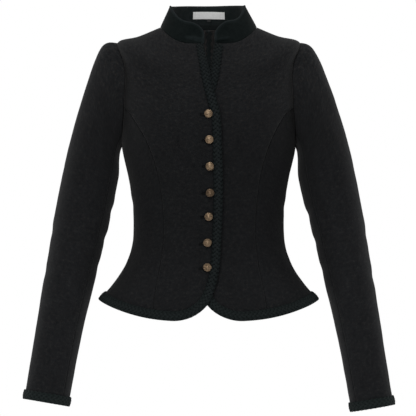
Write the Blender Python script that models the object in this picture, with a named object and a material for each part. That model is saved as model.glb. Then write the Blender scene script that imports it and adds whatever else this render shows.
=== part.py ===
"""A short Tyrolean loden jacket, hollow and standing as it does on its wearer.

The body is cut in eight panels with princess seams at front and back, and flares to a short
peplum. The wearer's right front laps over the left one. Both fronts, the hem and the cuffs are
edged with a flat plaited braid, a stand collar closes the neck, and seven shank buttons stand in
their buttonholes. The sleeves are two-piece, with a small gathered head.

Frame: metres, +Z up, the wearer faces -Y and their left is +X. The origin is between the two
points where the shoulder seams meet the collar, which is where the wearer carries the jacket.
"""

import math

import bmesh
import bpy
from mathutils import Vector

# Cloth and trimmings
CLOTH = 0.0022
LINING_CLOTH = 0.0010
COLLAR_CLOTH = 0.0028
BRAID_WIDTH = 0.0160
BRAID_THICK = 0.0026
LABEL = (0.0165, 0.0300, 0.0006)
SIZE_TAB = (0.0105, 0.0160, 0.0006)
SEAM_GAP = 0.00032
LAID_GAP = 0.00045
LINING_GAP = 0.00070

# Body
HEM_Z = -0.497
BUST_FULLNESS = 0.0100
BUST_X = 0.082
BUST_Z = -0.186
BUST_SPREAD = (0.040, 0.050)
FRONT, BACK = -1, 1
RIGHT, LEFT = -1, 1

# Armhole, an oval in the body's own turn and level
ARMHOLE_STEPS = 26
ARMHOLE_LOW = 0.292
ARMHOLE_HIGH = 0.417
ARMHOLE_SPREAD = math.radians(22.5)
PRINCESS_STEP = 8
FRONT_SLEEVE_SEAM = 10
BACK_SLEEVE_SEAM = 18

# Front edge: its lower corner is a quarter of an oval
CORNER_HEIGHT = 0.072
CORNER_REACH = 0.079
LAP_LIFT = 0.0060
LAP_RISE = 0.050
LAP_MARGIN = 0.004
LAP_TOP = (0.424, 0.458)

# Collar
COLLAR_HEIGHT = 0.0395
COLLAR_END_HEIGHT = 0.0140
COLLAR_CORNER = 0.034
COLLAR_SHARES = {
    "front": (0, 0.012, 0.04, 0.09, 0.16, 0.25, 0.38, 0.54, 0.7, 0.86),
    "back": (1.0, 0.84, 0.68, 0.5, 0.3, 0.1),
}
COLLAR_LEAN = {"front": 16.0, "side": 22.0, "back": 8.0}

# Buttons
BUTTON_CROWN = 0.0082
BUTTON_SIDES = 14
BUTTON_CLEARANCE = 0.0008
SHANK_RADIUS = 0.0015
SHANK_SLEEVE = 0.0019
BUTTONHOLE = (0.0140, 0.0012)
CUT_REACH = 0.004

# Sleeves
PUFF_RISE = 0.022
PUFF_FALL = 0.105
BICEPS_Z = -0.250


class Table:
    """Rows of numbers under named columns, read smoothly between rows by the first column."""

    def __init__(self, names, *rows):
        self.names = names.split()
        self.rows = rows

    def slope(self, row, column):
        low, high = max(row - 1, 0), min(row + 1, len(self.rows) - 1)
        rise = self.rows[high][column] - self.rows[low][column]
        return rise / (self.rows[high][0] - self.rows[low][0])

    def read(self, name, key):
        column = self.names.index(name)
        row = 0
        while row < len(self.rows) - 2 and key > self.rows[row + 1][0]:
            row += 1
        start, end = self.rows[row], self.rows[row + 1]
        span = end[0] - start[0]
        t = min(max((key - start[0]) / span, 0.0), 1.0)
        t2, t3 = t * t, t * t * t
        return (
            start[column] * (2 * t3 - 3 * t2 + 1)
            + end[column] * (3 * t2 - 2 * t3)
            + span * self.slope(row, column) * (t3 - 2 * t2 + t)
            + span * self.slope(row + 1, column) * (t3 - t2)
        )


# A row for each section of the body. level is the height above the hem at the centre front.
BODY = Table(
    "level side_z back_z half_width front_depth back_depth square rise",
    (0.000, -0.467, -0.473, 0.1875, 0.133, 0.143, 2.10, 4.7),
    (0.047, -0.436, -0.438, 0.1610, 0.125, 0.126, 2.10, 4.2),
    (0.087, -0.403, -0.404, 0.1410, 0.113, 0.109, 2.15, 3.6),
    (0.122, -0.372, -0.373, 0.1310, 0.103, 0.095, 2.20, 3.0),
    (0.157, -0.340, -0.340, 0.1290, 0.098, 0.089, 2.25, 2.5),
    (0.201, -0.296, -0.296, 0.1315, 0.102, 0.093, 2.30, 2.5),
    (0.239, -0.258, -0.258, 0.1375, 0.108, 0.100, 2.35, 2.5),
    (0.292, -0.205, -0.205, 0.1490, 0.114, 0.109, 2.50, 3.0),
    (0.354, -0.118, -0.133, 0.1550, 0.108, 0.112, 2.70, 4.4),
    (0.397, -0.056, -0.075, 0.1505, 0.096, 0.106, 2.70, 5.0),
    (0.417, -0.026, -0.055, 0.1560, 0.088, 0.098, 2.70, 5.2),
    (0.441, -0.0148, -0.020, 0.1190, 0.076, 0.078, 2.35, 5.6),
    (0.4645, 0.000, 0.004, 0.0830, 0.062, 0.058, 2.10, 5.8),
)

# How far each front reaches past the centre front, above the rounded corner: the right one lies
# over the left
FRONT_EDGE = Table(
    "level over under",
    (0.000, 0.0170, 0.0205),
    (0.020, 0.0165, 0.0205),
    (0.047, 0.0128, 0.0180),
    (0.072, 0.0150, 0.0205),
    (0.092, 0.0182, 0.0238),
    (0.131, 0.0205, 0.0240),
    (0.210, 0.0232, 0.0260),
    (0.300, 0.0215, 0.0250),
    (0.340, 0.0188, 0.0225),
    (0.360, 0.0155, 0.0185),
    (0.384, 0.0100, 0.0105),
    (0.416, 0.0036, -0.0012),
    (0.438, -0.0020, -0.0052),
    (0.4645, -0.0074, -0.0100),
)

# Distance of the princess seams from the centre line, up to the armhole
PRINCESS = Table(
    "level front back",
    (0.000, 0.0930, 0.0760),
    (0.040, 0.0895, 0.0680),
    (0.079, 0.0825, 0.0600),
    (0.119, 0.0765, 0.0540),
    (0.155, 0.0750, 0.0520),
    (0.197, 0.0775, 0.0550),
    (0.242, 0.0840, 0.0640),
    (0.279, 0.0932, 0.0780),
    (0.303, 0.1035, 0.0900),
    (0.318, 0.1150, 0.1040),
    (0.328, 0.1265, 0.1200),
)

# Sleeve below the biceps: along runs from 0 there to 1 at the cuff
SLEEVE = Table(
    "along x half_width half_depth",
    (0.000, 0.2035, 0.0460, 0.0520),
    (0.128, 0.2135, 0.0463, 0.0510),
    (0.256, 0.2240, 0.0450, 0.0490),
    (0.384, 0.2340, 0.0426, 0.0465),
    (0.512, 0.2445, 0.0408, 0.0440),
    (0.640, 0.2545, 0.0388, 0.0415),
    (0.768, 0.2635, 0.0375, 0.0395),
    (0.896, 0.2720, 0.0368, 0.0380),
    (1.000, 0.2790, 0.0365, 0.0375),
)
SLEEVE_HANG = {
    RIGHT: {"drop": 0.392, "forward": 0.024, "out": -0.0016, "widen": 0.0016, "puff": 0.0180},
    LEFT: {"drop": 0.402, "forward": 0.020, "out": 0.0008, "widen": 0.0, "puff": 0.0140},
}

# The button's turned outline, from its rim to its crown
BUTTON = Table(
    "radius height",
    (0.0058, 0.0038),
    (0.0075, 0.0046),
    (0.0065, 0.0062),
    (0.0057, 0.0061),
    (0.0035, 0.0075),
    (0.0015, 0.0079),
)
BUTTONS = Table(
    "level x",
    (0.088, -0.0025),
    (0.129, -0.0025),
    (0.172, -0.0005),
    (0.212, 0.0014),
    (0.257, 0.0011),
    (0.301, 0.0007),
    (0.344, -0.0012),
)

SIDE_NAMES = {RIGHT: "right", LEFT: "left"}
COLOURS = {
    "loden": ((0.012, 0.012, 0.0125, 1.0), 0.95, 0.0),
    "green_cloth": ((0.008, 0.014, 0.013, 1.0), 0.95, 0.0),
    "braid": ((0.008, 0.015, 0.014, 1.0), 0.85, 0.0),
    "lining": ((0.020, 0.015, 0.013, 1.0), 0.55, 0.0),
    "label": ((0.80, 0.80, 0.78, 1.0), 0.60, 0.0),
    "tab": ((0.010, 0.011, 0.012, 1.0), 0.70, 0.0),
    "old_brass": ((0.30, 0.20, 0.11, 1.0), 0.45, 1.0),
}


# ---------------------------------------------------------------- small tools


def clear_scene():
    for obj in list(bpy.data.objects):
        bpy.data.objects.remove(obj)


def material(name):
    made = bpy.data.materials.get(name)
    if made is None:
        made = bpy.data.materials.new(name)
        made.use_nodes = True
        shader = made.node_tree.nodes["Principled BSDF"]
        colour, roughness, metallic = COLOURS[name]
        shader.inputs["Base Color"].default_value = colour
        shader.inputs["Roughness"].default_value = roughness
        shader.inputs["Metallic"].default_value = metallic
    return made


def collection(name):
    made = bpy.data.collections.get(name)
    if made is None:
        made = bpy.data.collections.new(name)
        bpy.context.scene.collection.children.link(made)
    return made


def add_object(name, mesh, material_name, group="loden_jacket"):
    obj = bpy.data.objects.new(name, mesh)
    obj.data.materials.append(material(material_name))
    collection(group).objects.link(obj)
    return obj


def finished(name, shape, material_name, group="loden_jacket"):
    """The object of a closed bmesh, turned to face outward."""
    bmesh.ops.recalc_face_normals(shape, faces=shape.faces)
    if shape.calc_volume(signed=True) < 0:
        bmesh.ops.reverse_faces(shape, faces=shape.faces)
    mesh = bpy.data.meshes.new(name)
    shape.to_mesh(mesh)
    shape.free()
    mesh.shade_smooth()
    mesh.set_sharp_from_angle(angle=math.radians(40))
    return add_object(name, mesh, material_name, group)


def mix(a, b, t):
    return a + (b - a) * t


def ease(t):
    """0 below 0, 1 above 1, and smooth between."""
    t = min(max(t, 0.0), 1.0)
    return t * t * (3 - 2 * t)


def normal_of(surface, u, v, step_u, step_v):
    """The unit normal of surface(u, v), pointing to the side of d/du cross d/dv."""
    across = surface(u + step_u, v) - surface(u - step_u, v)
    along = surface(u, v + step_v) - surface(u, v - step_v)
    return across.cross(along).normalized()


def loft(name, sections, material_name, ring=False):
    """A solid through sections, each a closed loop of points. ring joins the last to the first.

    Each loop holds a front row and a back row of equal length, the back one in reverse, so that
    the end caps are strips.
    """
    shape = bmesh.new()
    loops = [[shape.verts.new(point) for point in section] for section in sections]
    count = len(loops[0])
    last = len(loops) if ring else len(loops) - 1
    for i in range(last):
        low, high = loops[i], loops[(i + 1) % len(loops)]
        for j in range(count):
            k = (j + 1) % count
            shape.faces.new((low[j], low[k], high[k], high[j]))
    if not ring:
        for loop, turned in ((loops[0], True), (loops[-1], False)):
            for j in range(count // 2 - 1):
                face = [loop[j], loop[j + 1], loop[count - 2 - j], loop[count - 1 - j]]
                shape.faces.new(face[::-1] if turned else face)
    return finished(name, shape, material_name)


def wall(name, grid, thickness, material_name):
    """A cloth wall. grid holds rows of (outer point, outward normal)."""
    sections = []
    for row in grid:
        outer = [point for point, _ in row]
        inner = [point - normal * thickness for point, normal in row]
        sections.append(outer + inner[::-1])
    return loft(name, sections, material_name)


def part_seam(grid, first=False, last=False):
    """Moves the first and last column half a seam's gap towards their neighbours."""
    for row in grid:
        if first:
            row[0] = drawn_in(row[0], row[1])
        if last:
            row[-1] = drawn_in(row[-1], row[-2])
    return grid


def part_top(grid):
    """As part_seam, for the last row."""
    grid[-1] = [drawn_in(a, b) for a, b in zip(grid[-1], grid[-2])]
    return grid


def drawn_in(edge, neighbour):
    point, normal = edge
    return point + (neighbour[0] - point).normalized() * (SEAM_GAP / 2), normal


# ---------------------------------------------------------------- the body's surface


def section_radius(angle, level, face):
    width = BODY.read("half_width", level)
    depth = BODY.read("front_depth" if face == FRONT else "back_depth", level)
    power = BODY.read("square", level)
    bulge = (abs(math.cos(angle)) / depth) ** power + (abs(math.sin(angle)) / width) ** power
    return bulge ** (-1 / power)


def body(angle, level, face, side=LEFT):
    """A point of the body, angle radians round from the centre front or back."""
    radius = section_radius(angle, level, face)
    x, y = radius * math.sin(angle), face * radius * math.cos(angle)
    centre_z = HEM_Z + level if face == FRONT else BODY.read("back_z", level)
    rise = abs(math.sin(angle)) ** BODY.read("rise", level)
    z = mix(centre_z, BODY.read("side_z", level), rise)
    if face == FRONT:
        off_x = (abs(x) - BUST_X) / BUST_SPREAD[0]
        off_z = (z - BUST_Z) / BUST_SPREAD[1]
        y -= BUST_FULLNESS * math.exp(-(off_x**2 + off_z**2) / 2) * math.cos(angle)
    return Vector((side * x, y, z))


def body_normal(angle, level, face, side=LEFT):
    """The outward normal of the body."""
    top = BODY.rows[-1][0]
    near = min(max(level, 0.001), top - 0.001)
    normal = normal_of(lambda a, b: body(a, b, face, side), angle, near, 0.01, 0.001)
    outward = body(angle, near, face, side) - Vector((0, 0, body(0, near, face).z))
    flat = Vector((outward.x, outward.y, 0))
    return normal if normal.dot(flat + Vector((0, 0, 0.02))) > 0 else -normal


def angle_at(x, level, face):
    """The angle at which the section at this level is x from the centre line."""
    width = BODY.read("half_width", level)
    depth = BODY.read("front_depth" if face == FRONT else "back_depth", level)
    power = BODY.read("square", level)
    return math.atan2(x, depth * (1 - (abs(x) / width) ** power) ** (1 / power))


def edge_reach(level, side):
    """How far a front's edge lies past the centre front."""
    low = max(CORNER_HEIGHT - level, 0.0) / CORNER_HEIGHT
    reach = FRONT_EDGE.read("over" if side == RIGHT else "under", level)
    return reach - CORNER_REACH * (1 - math.sqrt(1 - low * low))


def edge_angle(level, side):
    return angle_at(-edge_reach(level, side), level, FRONT)


def armhole_place(step):
    """(angle, level, face) of the armhole, step counted from the shoulder to the front."""
    turn = math.tau * step / ARMHOLE_STEPS
    middle, half = (ARMHOLE_HIGH + ARMHOLE_LOW) / 2, (ARMHOLE_HIGH - ARMHOLE_LOW) / 2
    spread = ARMHOLE_SPREAD * math.sin(turn)
    face = FRONT if spread >= 0 else BACK
    return math.pi / 2 - abs(spread), middle + half * math.cos(turn), face


PRINCESS_TOP = armhole_place(PRINCESS_STEP)[:2]


def princess_table(name, face):
    rows = [(row[0], angle_at(PRINCESS.read(name, row[0]), row[0], face)) for row in PRINCESS.rows]
    return Table("level angle", *rows, (PRINCESS_TOP[1], PRINCESS_TOP[0]))


PRINCESS_ANGLE = {FRONT: princess_table("front", FRONT), BACK: princess_table("back", BACK)}


def princess_angle(level, face):
    return PRINCESS_ANGLE[face].read("angle", level)


# ---------------------------------------------------------------- where the panels' rows lie

LOW_LEVELS = (0.0, 0.0025, 0.008, 0.016, 0.027, 0.040, 0.056, 0.075)
HIGH_LEVELS = (0.100, 0.128, 0.157, 0.187, 0.218, 0.248, 0.275, 0.297, 0.313, 0.324)
SEAM_LEVELS = LOW_LEVELS + HIGH_LEVELS + (PRINCESS_TOP[1],)
UPPER_ARMHOLE = tuple(armhole_place(k)[:2] for k in range(PRINCESS_STEP - 1, -1, -1))
SHOULDER_LEVELS = (0.429, 0.441, 0.4525, 0.4620, 0.4645)
LINING_LEVELS = (0.020, 0.463)


def lift_at(x, level):
    """How far the right front stands off, to lie over the left one and its braid."""
    left_edge = -edge_reach(max(level, 0.0), LEFT)
    across = ease((x - left_edge + LAP_MARGIN) / LAP_RISE + 1)
    return LAP_LIFT * across * ease((LAP_TOP[1] - level) / (LAP_TOP[1] - LAP_TOP[0]))


def front_surface(angle, level, side):
    """A point of a front panel: the right one is lifted where it laps over the left."""
    point = body(angle, level, FRONT, side)
    if side == RIGHT:
        point += body_normal(angle, level, FRONT, side) * lift_at(point.x, level)
    return point


def front_normal(angle, level, side):
    near = min(max(level, 0.001), BODY.rows[-1][0] - 0.001)
    normal = normal_of(lambda a, b: front_surface(a, b, side), angle, near, 0.01, 0.001)
    return normal if normal.dot(body_normal(angle, level, FRONT, side)) > 0 else -normal


def front_place(angle, level, side):
    return front_surface(angle, level, side), front_normal(angle, level, side)


def body_place(angle, level, face, side):
    return body(angle, level, face, side), body_normal(angle, level, face, side)


# ---------------------------------------------------------------- body panels


def outer_angles(face):
    """(level, angle) up the outer side of a front or back: princess seam, armhole, shoulder."""
    seam = [(level, princess_angle(level, face)) for level in SEAM_LEVELS]
    hole = [(level, angle) for angle, level in UPPER_ARMHOLE]
    shoulder = [(level, math.pi / 2) for level in SHOULDER_LEVELS]
    return seam + hole + shoulder


def front_panel(side, columns=8):
    grid = []
    for level, outer in outer_angles(FRONT):
        inner = edge_angle(level, side)
        angles = [mix(inner, outer, (j / columns) ** 0.9) for j in range(columns + 1)]
        grid.append([front_place(angle, level, side) for angle in angles])
    return wall(f"front_{SIDE_NAMES[side]}", part_seam(grid, last=True), CLOTH, "loden")


def back_panel(side, columns=6):
    grid = []
    for level, outer in outer_angles(BACK):
        angles = [outer * j / columns for j in range(columns + 1)]
        grid.append([body_place(angle, level, BACK, side) for angle in angles])
    part_seam(grid, first=True, last=True)
    return wall(f"back_{SIDE_NAMES[side]}", grid, CLOTH, "loden")


def side_panel(name, face, side):
    """A panel from the princess seam to the side seam, with the lower armhole as its top."""
    steps = range(PRINCESS_STEP, ARMHOLE_STEPS // 2 + 1)
    top = [armhole_place(k)[:2] for k in steps]
    grid = []
    for level in SEAM_LEVELS:
        up = level / PRINCESS_TOP[1]
        row = []
        for j, (top_angle, top_level) in enumerate(top):
            seam = princess_angle(level, face)
            share_top = (top_angle - top[0][0]) / (math.pi / 2 - top[0][0])
            share = mix(j / (len(top) - 1), share_top, up**2)
            row.append(body_place(mix(seam, math.pi / 2, share), up * top_level, face, side))
        grid.append(row)
    part_top(part_seam(grid, first=True, last=True))
    return wall(f"{name}_{SIDE_NAMES[side]}", grid, CLOTH, "loden")


def back_lining(columns=6, reach=4):
    """The lining of the middle back, which shows through the neck."""
    grid = []
    for level, outer in outer_angles(BACK):
        if not LINING_LEVELS[0] < level < LINING_LEVELS[1]:
            continue
        row = []
        for j in range(-reach, reach + 1):
            side = RIGHT if j < 0 else LEFT
            point, normal = body_place(outer * abs(j) / columns, level, BACK, side)
            row.append((point - normal * (CLOTH + LINING_GAP), normal))
        grid.append(row)
    return wall("back_lining", grid, LINING_CLOTH, "lining")


# ---------------------------------------------------------------- collar and labels


def collar_stations():
    """(angle, face, side) round the neckline, from the right front's end to the left one's."""
    top = BODY.rows[-1][0]
    half = math.pi / 2
    halves = []
    for side in (RIGHT, LEFT):
        end = edge_angle(top, side)
        places = [(mix(end, half, share), FRONT, side) for share in COLLAR_SHARES["front"]]
        halves.append(places + [(half * share, BACK, side) for share in COLLAR_SHARES["back"]])
    return halves[0] + halves[1][::-1]


def collar_lean(angle, face):
    share = math.sin(angle) ** 2
    centre = COLLAR_LEAN["front" if face == FRONT else "back"]
    return math.radians(mix(centre, COLLAR_LEAN["side"], share))


def collar_outline():
    """(base point, outward direction, lean, height) for each station round the collar."""
    top = BODY.rows[-1][0]
    stations = collar_stations()
    base = [body(a, top, face, side) for a, face, side in stations]
    run = [0.0]
    for low, high in zip(base, base[1:]):
        run.append(run[-1] + (high - low).length)
    outline = []
    for i, (angle, face, _) in enumerate(stations):
        before, after = base[max(i - 1, 0)], base[min(i + 1, len(base) - 1)]
        along = (after - before).normalized()
        outward = Vector((-along.y, along.x, 0)).normalized()
        if outward.dot(Vector((base[i].x, base[i].y, 0))) < 0:
            outward = -outward
        from_end = min(run[i], run[-1] - run[i])
        cut = max(COLLAR_CORNER - from_end, 0.0) / COLLAR_CORNER
        height = mix(COLLAR_END_HEIGHT, COLLAR_HEIGHT, math.sqrt(1 - cut * cut))
        outline.append((base[i], outward, collar_lean(angle, face), height))
    return outline


def collar_point(station, up, out=0.0):
    """A point on the collar, up along its height and out from its outer face."""
    base, outward, lean, _ = station
    rise = Vector((0, 0, math.cos(lean))) - outward * math.sin(lean)
    face = outward * math.cos(lean) + Vector((0, 0, math.sin(lean)))
    return base + Vector((0, 0, SEAM_GAP)) + rise * up + face * out


def collar(rows=3):
    sections = []
    for station in collar_outline():
        height = station[3]
        ups = [height * j / rows for j in range(rows + 1)]
        outer = [collar_point(station, up) for up in ups]
        inner = [collar_point(station, up, -COLLAR_CLOTH) for up in ups]
        sections.append(outer + inner[::-1])
    return loft("collar", sections, "green_cloth")


def collar_patch(name, shares, low, high, thickness, material_name):
    """A flat piece on the inside of the collar's back, between heights low and high.

    Each share counts in stations from the centre back, half a station either side of it.
    """
    outline = collar_outline()
    sections = []
    for share in shares:
        place = len(outline) / 2 - 0.5 + share
        first = min(int(place), len(outline) - 2)
        corners = []
        for up, deep in ((low, 0.0), (high, 0.0), (high, thickness), (low, thickness)):
            out = -COLLAR_CLOTH - LAID_GAP - deep
            ends = [collar_point(outline[first + k], up, out) for k in (0, 1)]
            corners.append(mix(*ends, place - first))
        sections.append(corners)
    return loft(name, sections, material_name)


# ---------------------------------------------------------------- sleeves


def sleeve_centre(along, side):
    hang = SLEEVE_HANG[side]
    x = SLEEVE.read("x", along) + hang["out"]
    return Vector((x, -hang["forward"] * max(along, 0) ** 2, BICEPS_Z - along * hang["drop"]))


def sleeve_down(along, side):
    """The way the sleeve runs, down its middle."""
    near = min(max(along, 0.01), 0.99)
    return (sleeve_centre(near + 0.01, side) - sleeve_centre(near - 0.01, side)).normalized()


def sleeve_ring(step, along, side):
    """A point of the sleeve below the biceps, before mirroring; step turns from outside to front."""
    turn = math.tau * step / ARMHOLE_STEPS
    down = sleeve_down(along, side)
    outside = (Vector((1, 0, 0)) - down * down.x).normalized()
    front = down.cross(outside)
    width = SLEEVE.read("half_width", along) + SLEEVE_HANG[side]["widen"]
    depth = SLEEVE.read("half_depth", along)
    spoke = outside * math.cos(turn) * width + front * math.sin(turn) * depth
    return sleeve_centre(along, side) + spoke


def sleeve_cap(step, share, side):
    """A point between the armhole (share 0) and the biceps (share 1), before mirroring."""
    angle, level, face = armhole_place(step)
    turn = math.tau * step / ARMHOLE_STEPS
    upper = math.cos(turn) * 0.5 + 0.5
    end = sleeve_ring(step, 0.0, side)
    start = body(angle, level, face)
    reach = end - start
    out = Vector((mix(0.30, 0.95, upper), 0, 0)) + reach.normalized() * 0.75
    out = out.normalized() * reach.length * mix(0.9, 0.46, upper)
    start = start + out.normalized() * SEAM_GAP * 1.2
    down = sleeve_down(0.0, side) * reach.length
    t, t2, t3 = share, share**2, share**3
    point = start * (2 * t3 - 3 * t2 + 1) + end * (3 * t2 - 2 * t3) + out * (t3 - 2 * t2 + t)
    point += down * (t3 - t2)
    run = share * reach.length
    puff = SLEEVE_HANG[side]["puff"] * max(math.cos(turn), 0.0) ** 1.5
    puff *= (1 - math.exp(-((run / PUFF_RISE) ** 2))) * math.exp(-((run / PUFF_FALL) ** 2))
    outward = (end - sleeve_centre(0.0, side)).normalized()
    away = mix(Vector((0, 0, 1)), outward, share**0.3).normalized()
    return point + away * puff


def sleeve(step, travel, side):
    """A point of the sleeve: travel is -1 at the armhole, 0 at the biceps and 1 at the cuff."""
    if travel < 0:
        point = sleeve_cap(step, travel + 1, side)
    else:
        point = sleeve_ring(step, travel, side)
    return Vector((side * point.x, point.y, point.z))


def sleeve_normal(step, travel, side):
    small = 0.004
    near = min(max(travel, -1 + small), 1 - small)
    normal = normal_of(lambda a, b: sleeve(a, b, side), step, near, 0.2, small)
    centre = sleeve_centre(0.0 if near < 0 else near, side)
    centre = Vector((side * centre.x, centre.y, centre.z if near >= 0 else sleeve(step, near, side).z))
    point = sleeve(step, near, side)
    if near < -0.5 and math.cos(math.tau * step / ARMHOLE_STEPS) > 0.3:
        outward = Vector((0, 0, 1))
    else:
        outward = point - centre
    return normal if normal.dot(outward) > 0 else -normal


CAP_TRAVELS = (-1.0, -0.975, -0.935, -0.86, -0.73, -0.56, -0.38, -0.19)
ARM_TRAVELS = (0.0, 0.12, 0.26, 0.41, 0.57, 0.73, 0.87, 0.96, 1.0)


def sleeve_piece(name, first, last, side):
    grid = []
    for travel in CAP_TRAVELS + ARM_TRAVELS:
        row = []
        for step in range(first, last + 1):
            row.append((sleeve(step, travel, side), sleeve_normal(step, travel, side)))
        grid.append(row)
    part_seam(grid, first=True, last=True)
    return wall(f"{name}_{SIDE_NAMES[side]}", grid, CLOTH, "loden")


# ---------------------------------------------------------------- braid


# Across the braid: share of its width, share of its thickness
BRAID_TOP = ((0.0, 0.45), (0.2, 1.0), (0.5, 1.0), (0.8, 1.0), (1.0, 0.45))


def braid_section(places):
    """The loop of a braid over (point, normal) places across its width."""
    top = [p + n * (LAID_GAP + BRAID_THICK * up) for (p, n), (_, up) in zip(places, BRAID_TOP)]
    return top + [point + normal * LAID_GAP for point, normal in reversed(places)]


def cuff_braid(side):
    sections = []
    tall = BRAID_WIDTH / SLEEVE_HANG[side]["drop"]
    for step in range(ARMHOLE_STEPS):
        travels = [1 - share * tall for share, _ in BRAID_TOP]
        places = [(sleeve(step, t, side), sleeve_normal(step, t, side)) for t in travels]
        sections.append(braid_section(places))
    return loft(f"cuff_braid_{SIDE_NAMES[side]}", sections, "braid", ring=True)


def edge_route(side):
    """(angle, level, face) down the front edge, round its corner and along the hem to the back."""
    hole = tuple(level for _, level in UPPER_ARMHOLE)
    levels = sorted(set(SEAM_LEVELS + hole + SHOULDER_LEVELS[:-1]), reverse=True)
    levels = [SHOULDER_LEVELS[-1] - 0.0005] + levels
    route = [(edge_angle(level, side), level, FRONT) for level in levels]
    corner, seam = edge_angle(0.0, side), princess_angle(0.0, FRONT)
    route += [(mix(corner, seam, t), 0.0, FRONT) for t in (0.5, 1.0)]
    route += [(mix(seam, math.pi / 2, t), 0.0, FRONT) for t in (0.2, 0.4, 0.6, 0.8, 1.0)]
    seam = princess_angle(0.0, BACK)
    route += [(mix(math.pi / 2, seam, t), 0.0, BACK) for t in (0.2, 0.4, 0.6, 0.8, 1.0)]
    return route + [(seam * t, 0.0, BACK) for t in (0.75, 0.5, 0.25, 0.003)]


def on_edge(angle, level, face, side):
    """(point, normal) of the surface that the edge's braid lies on."""
    if face == FRONT:
        return front_place(angle, level, side)
    return body_place(angle, level, face, side)


def edge_braid(side):
    route = edge_route(side)
    points = [on_edge(*place, side)[0] for place in route]
    points.append(Vector((-points[-2].x, *points[-2].yz)))
    sections = []
    for i, place in enumerate(route):
        normal = on_edge(*place, side)[1]
        along = (points[i + 1] - points[max(i - 1, 0)]).normalized()
        inward = normal.cross(along) * side * BRAID_WIDTH
        sections.append(braid_section([walk(*place, side, inward * t) for t, _ in BRAID_TOP]))
    return loft(f"edge_braid_{SIDE_NAMES[side]}", sections, "braid")


def walk(angle, level, face, side, move):
    """(point, normal) of the surface reached by this move from a place on it."""
    target = on_edge(angle, level, face, side)[0] + move
    top = BODY.rows[-1][0]
    for _ in range(3):
        point = on_edge(angle, level, face, side)[0]
        by_angle = (on_edge(angle + 0.005, level, face, side)[0] - point) / 0.005
        by_level = (on_edge(angle, level + 0.001, face, side)[0] - point) / 0.001
        left = target - point
        aa, al, ll = by_angle.dot(by_angle), by_angle.dot(by_level), by_level.dot(by_level)
        ma, ml = left.dot(by_angle), left.dot(by_level)
        spread = aa * ll - al * al
        angle += (ma * ll - ml * al) / spread
        level = min(max(level + (ml * aa - ma * al) / spread, 0.0), top - 0.001)
    return on_edge(angle, level, face, side)


# ---------------------------------------------------------------- buttons


def button_frame(row):
    """(place on the right front, its normal, place on the left front) of a button."""
    level, x = row
    over_angle = angle_at(-x, level, FRONT)
    place = front_surface(over_angle, level, RIGHT)
    normal = front_normal(over_angle, level, RIGHT)
    under = front_surface(angle_at(x, level, FRONT), level, LEFT)
    return place, normal, under


def turned(profile, place, axis, sides=BUTTON_SIDES):
    """A closed mesh turned from (radius, height) pairs about an axis through place."""
    turn = axis.to_track_quat("Z", "Y")
    shape = bmesh.new()
    rings = []
    for radius, height in profile:
        if radius == 0:
            rings.append([shape.verts.new(place + axis * height)])
            continue
        spokes = [math.tau * k / sides for k in range(sides)]
        ring = [Vector((radius * math.cos(a), radius * math.sin(a), height)) for a in spokes]
        rings.append([shape.verts.new(place + turn @ point) for point in ring])
    for low, high in zip(rings, rings[1:]):
        for k in range(sides):
            j = (k + 1) % sides
            corners = [low[k % len(low)], low[j % len(low)], high[j % len(high)], high[k % len(high)]]
            shape.faces.new(list(dict.fromkeys(corners)))
    return shape


def button(number, row):
    place, normal, under = button_frame(row)
    foot = (under - place).dot(normal) + BUTTON_CLEARANCE
    profile = [(0, foot), (SHANK_RADIUS, foot), (SHANK_RADIUS, BUTTON.rows[0][1] + 0.0004)]
    profile += list(BUTTON.rows) + [(0, BUTTON_CROWN)]
    return finished(f"button_{number}", turned(profile, place, normal), "old_brass")


def cut_buttonholes(panel):
    """Cuts an eyelet and its slit through the right front for each button."""
    for number, row in enumerate(BUTTONS.rows, 1):
        place, normal, _ = button_frame(row)
        foot = -CLOTH - CUT_REACH
        profile = [(0, foot), (SHANK_SLEEVE, foot), (SHANK_SLEEVE, CUT_REACH), (0, CUT_REACH)]
        eyelet = turned(profile, place, normal, sides=10)
        add_cut(panel, finished(f"eyelet_cutter_{number}", eyelet, "loden", "cutters"))
        add_cut(panel, slit_cutter(number, place, normal))


def slit_cutter(number, place, normal):
    across = Vector((1, 0, 0))
    across = (across - normal * across.dot(normal)).normalized()
    upright = normal.cross(across)
    length, width = BUTTONHOLE
    shape = bmesh.new()
    bmesh.ops.create_cube(shape, size=1.0)
    for vert in shape.verts:
        along, up, out = vert.co
        vert.co = (
            place
            + across * ((along - 0.5) * length + SHANK_RADIUS)
            + upright * up * width
            + normal * out * 3 * CUT_REACH
        )
    return finished(f"slit_cutter_{number}", shape, "loden", "cutters")


def add_cut(panel, cutter):
    cutter.hide_render = True
    cutter.display_type = "WIRE"
    cut = panel.modifiers.new(cutter.name, "BOOLEAN")
    cut.operation = "DIFFERENCE"
    cut.solver = "EXACT"
    cut.object = cutter


# ---------------------------------------------------------------- the jacket


def build_jacket():
    clear_scene()
    for side in (RIGHT, LEFT):
        panel = front_panel(side)
        if side == RIGHT:
            cut_buttonholes(panel)
        side_panel("side_front", FRONT, side)
        side_panel("side_back", BACK, side)
        back_panel(side)
        edge_braid(side)
        sleeve_piece("sleeve_upper", BACK_SLEEVE_SEAM - ARMHOLE_STEPS, FRONT_SLEEVE_SEAM, side)
        sleeve_piece("sleeve_under", FRONT_SLEEVE_SEAM, BACK_SLEEVE_SEAM, side)
        cuff_braid(side)
    back_lining()
    collar()
    collar_patch("label", (-1.5, -0.5, 0.5, 1.5), *LABEL, "label")
    collar_patch("size_tab", (-0.15, 0.15), *SIZE_TAB, "tab")
    for number, row in enumerate(BUTTONS.rows, 1):
        button(number, row)


build_jacket()
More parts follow.
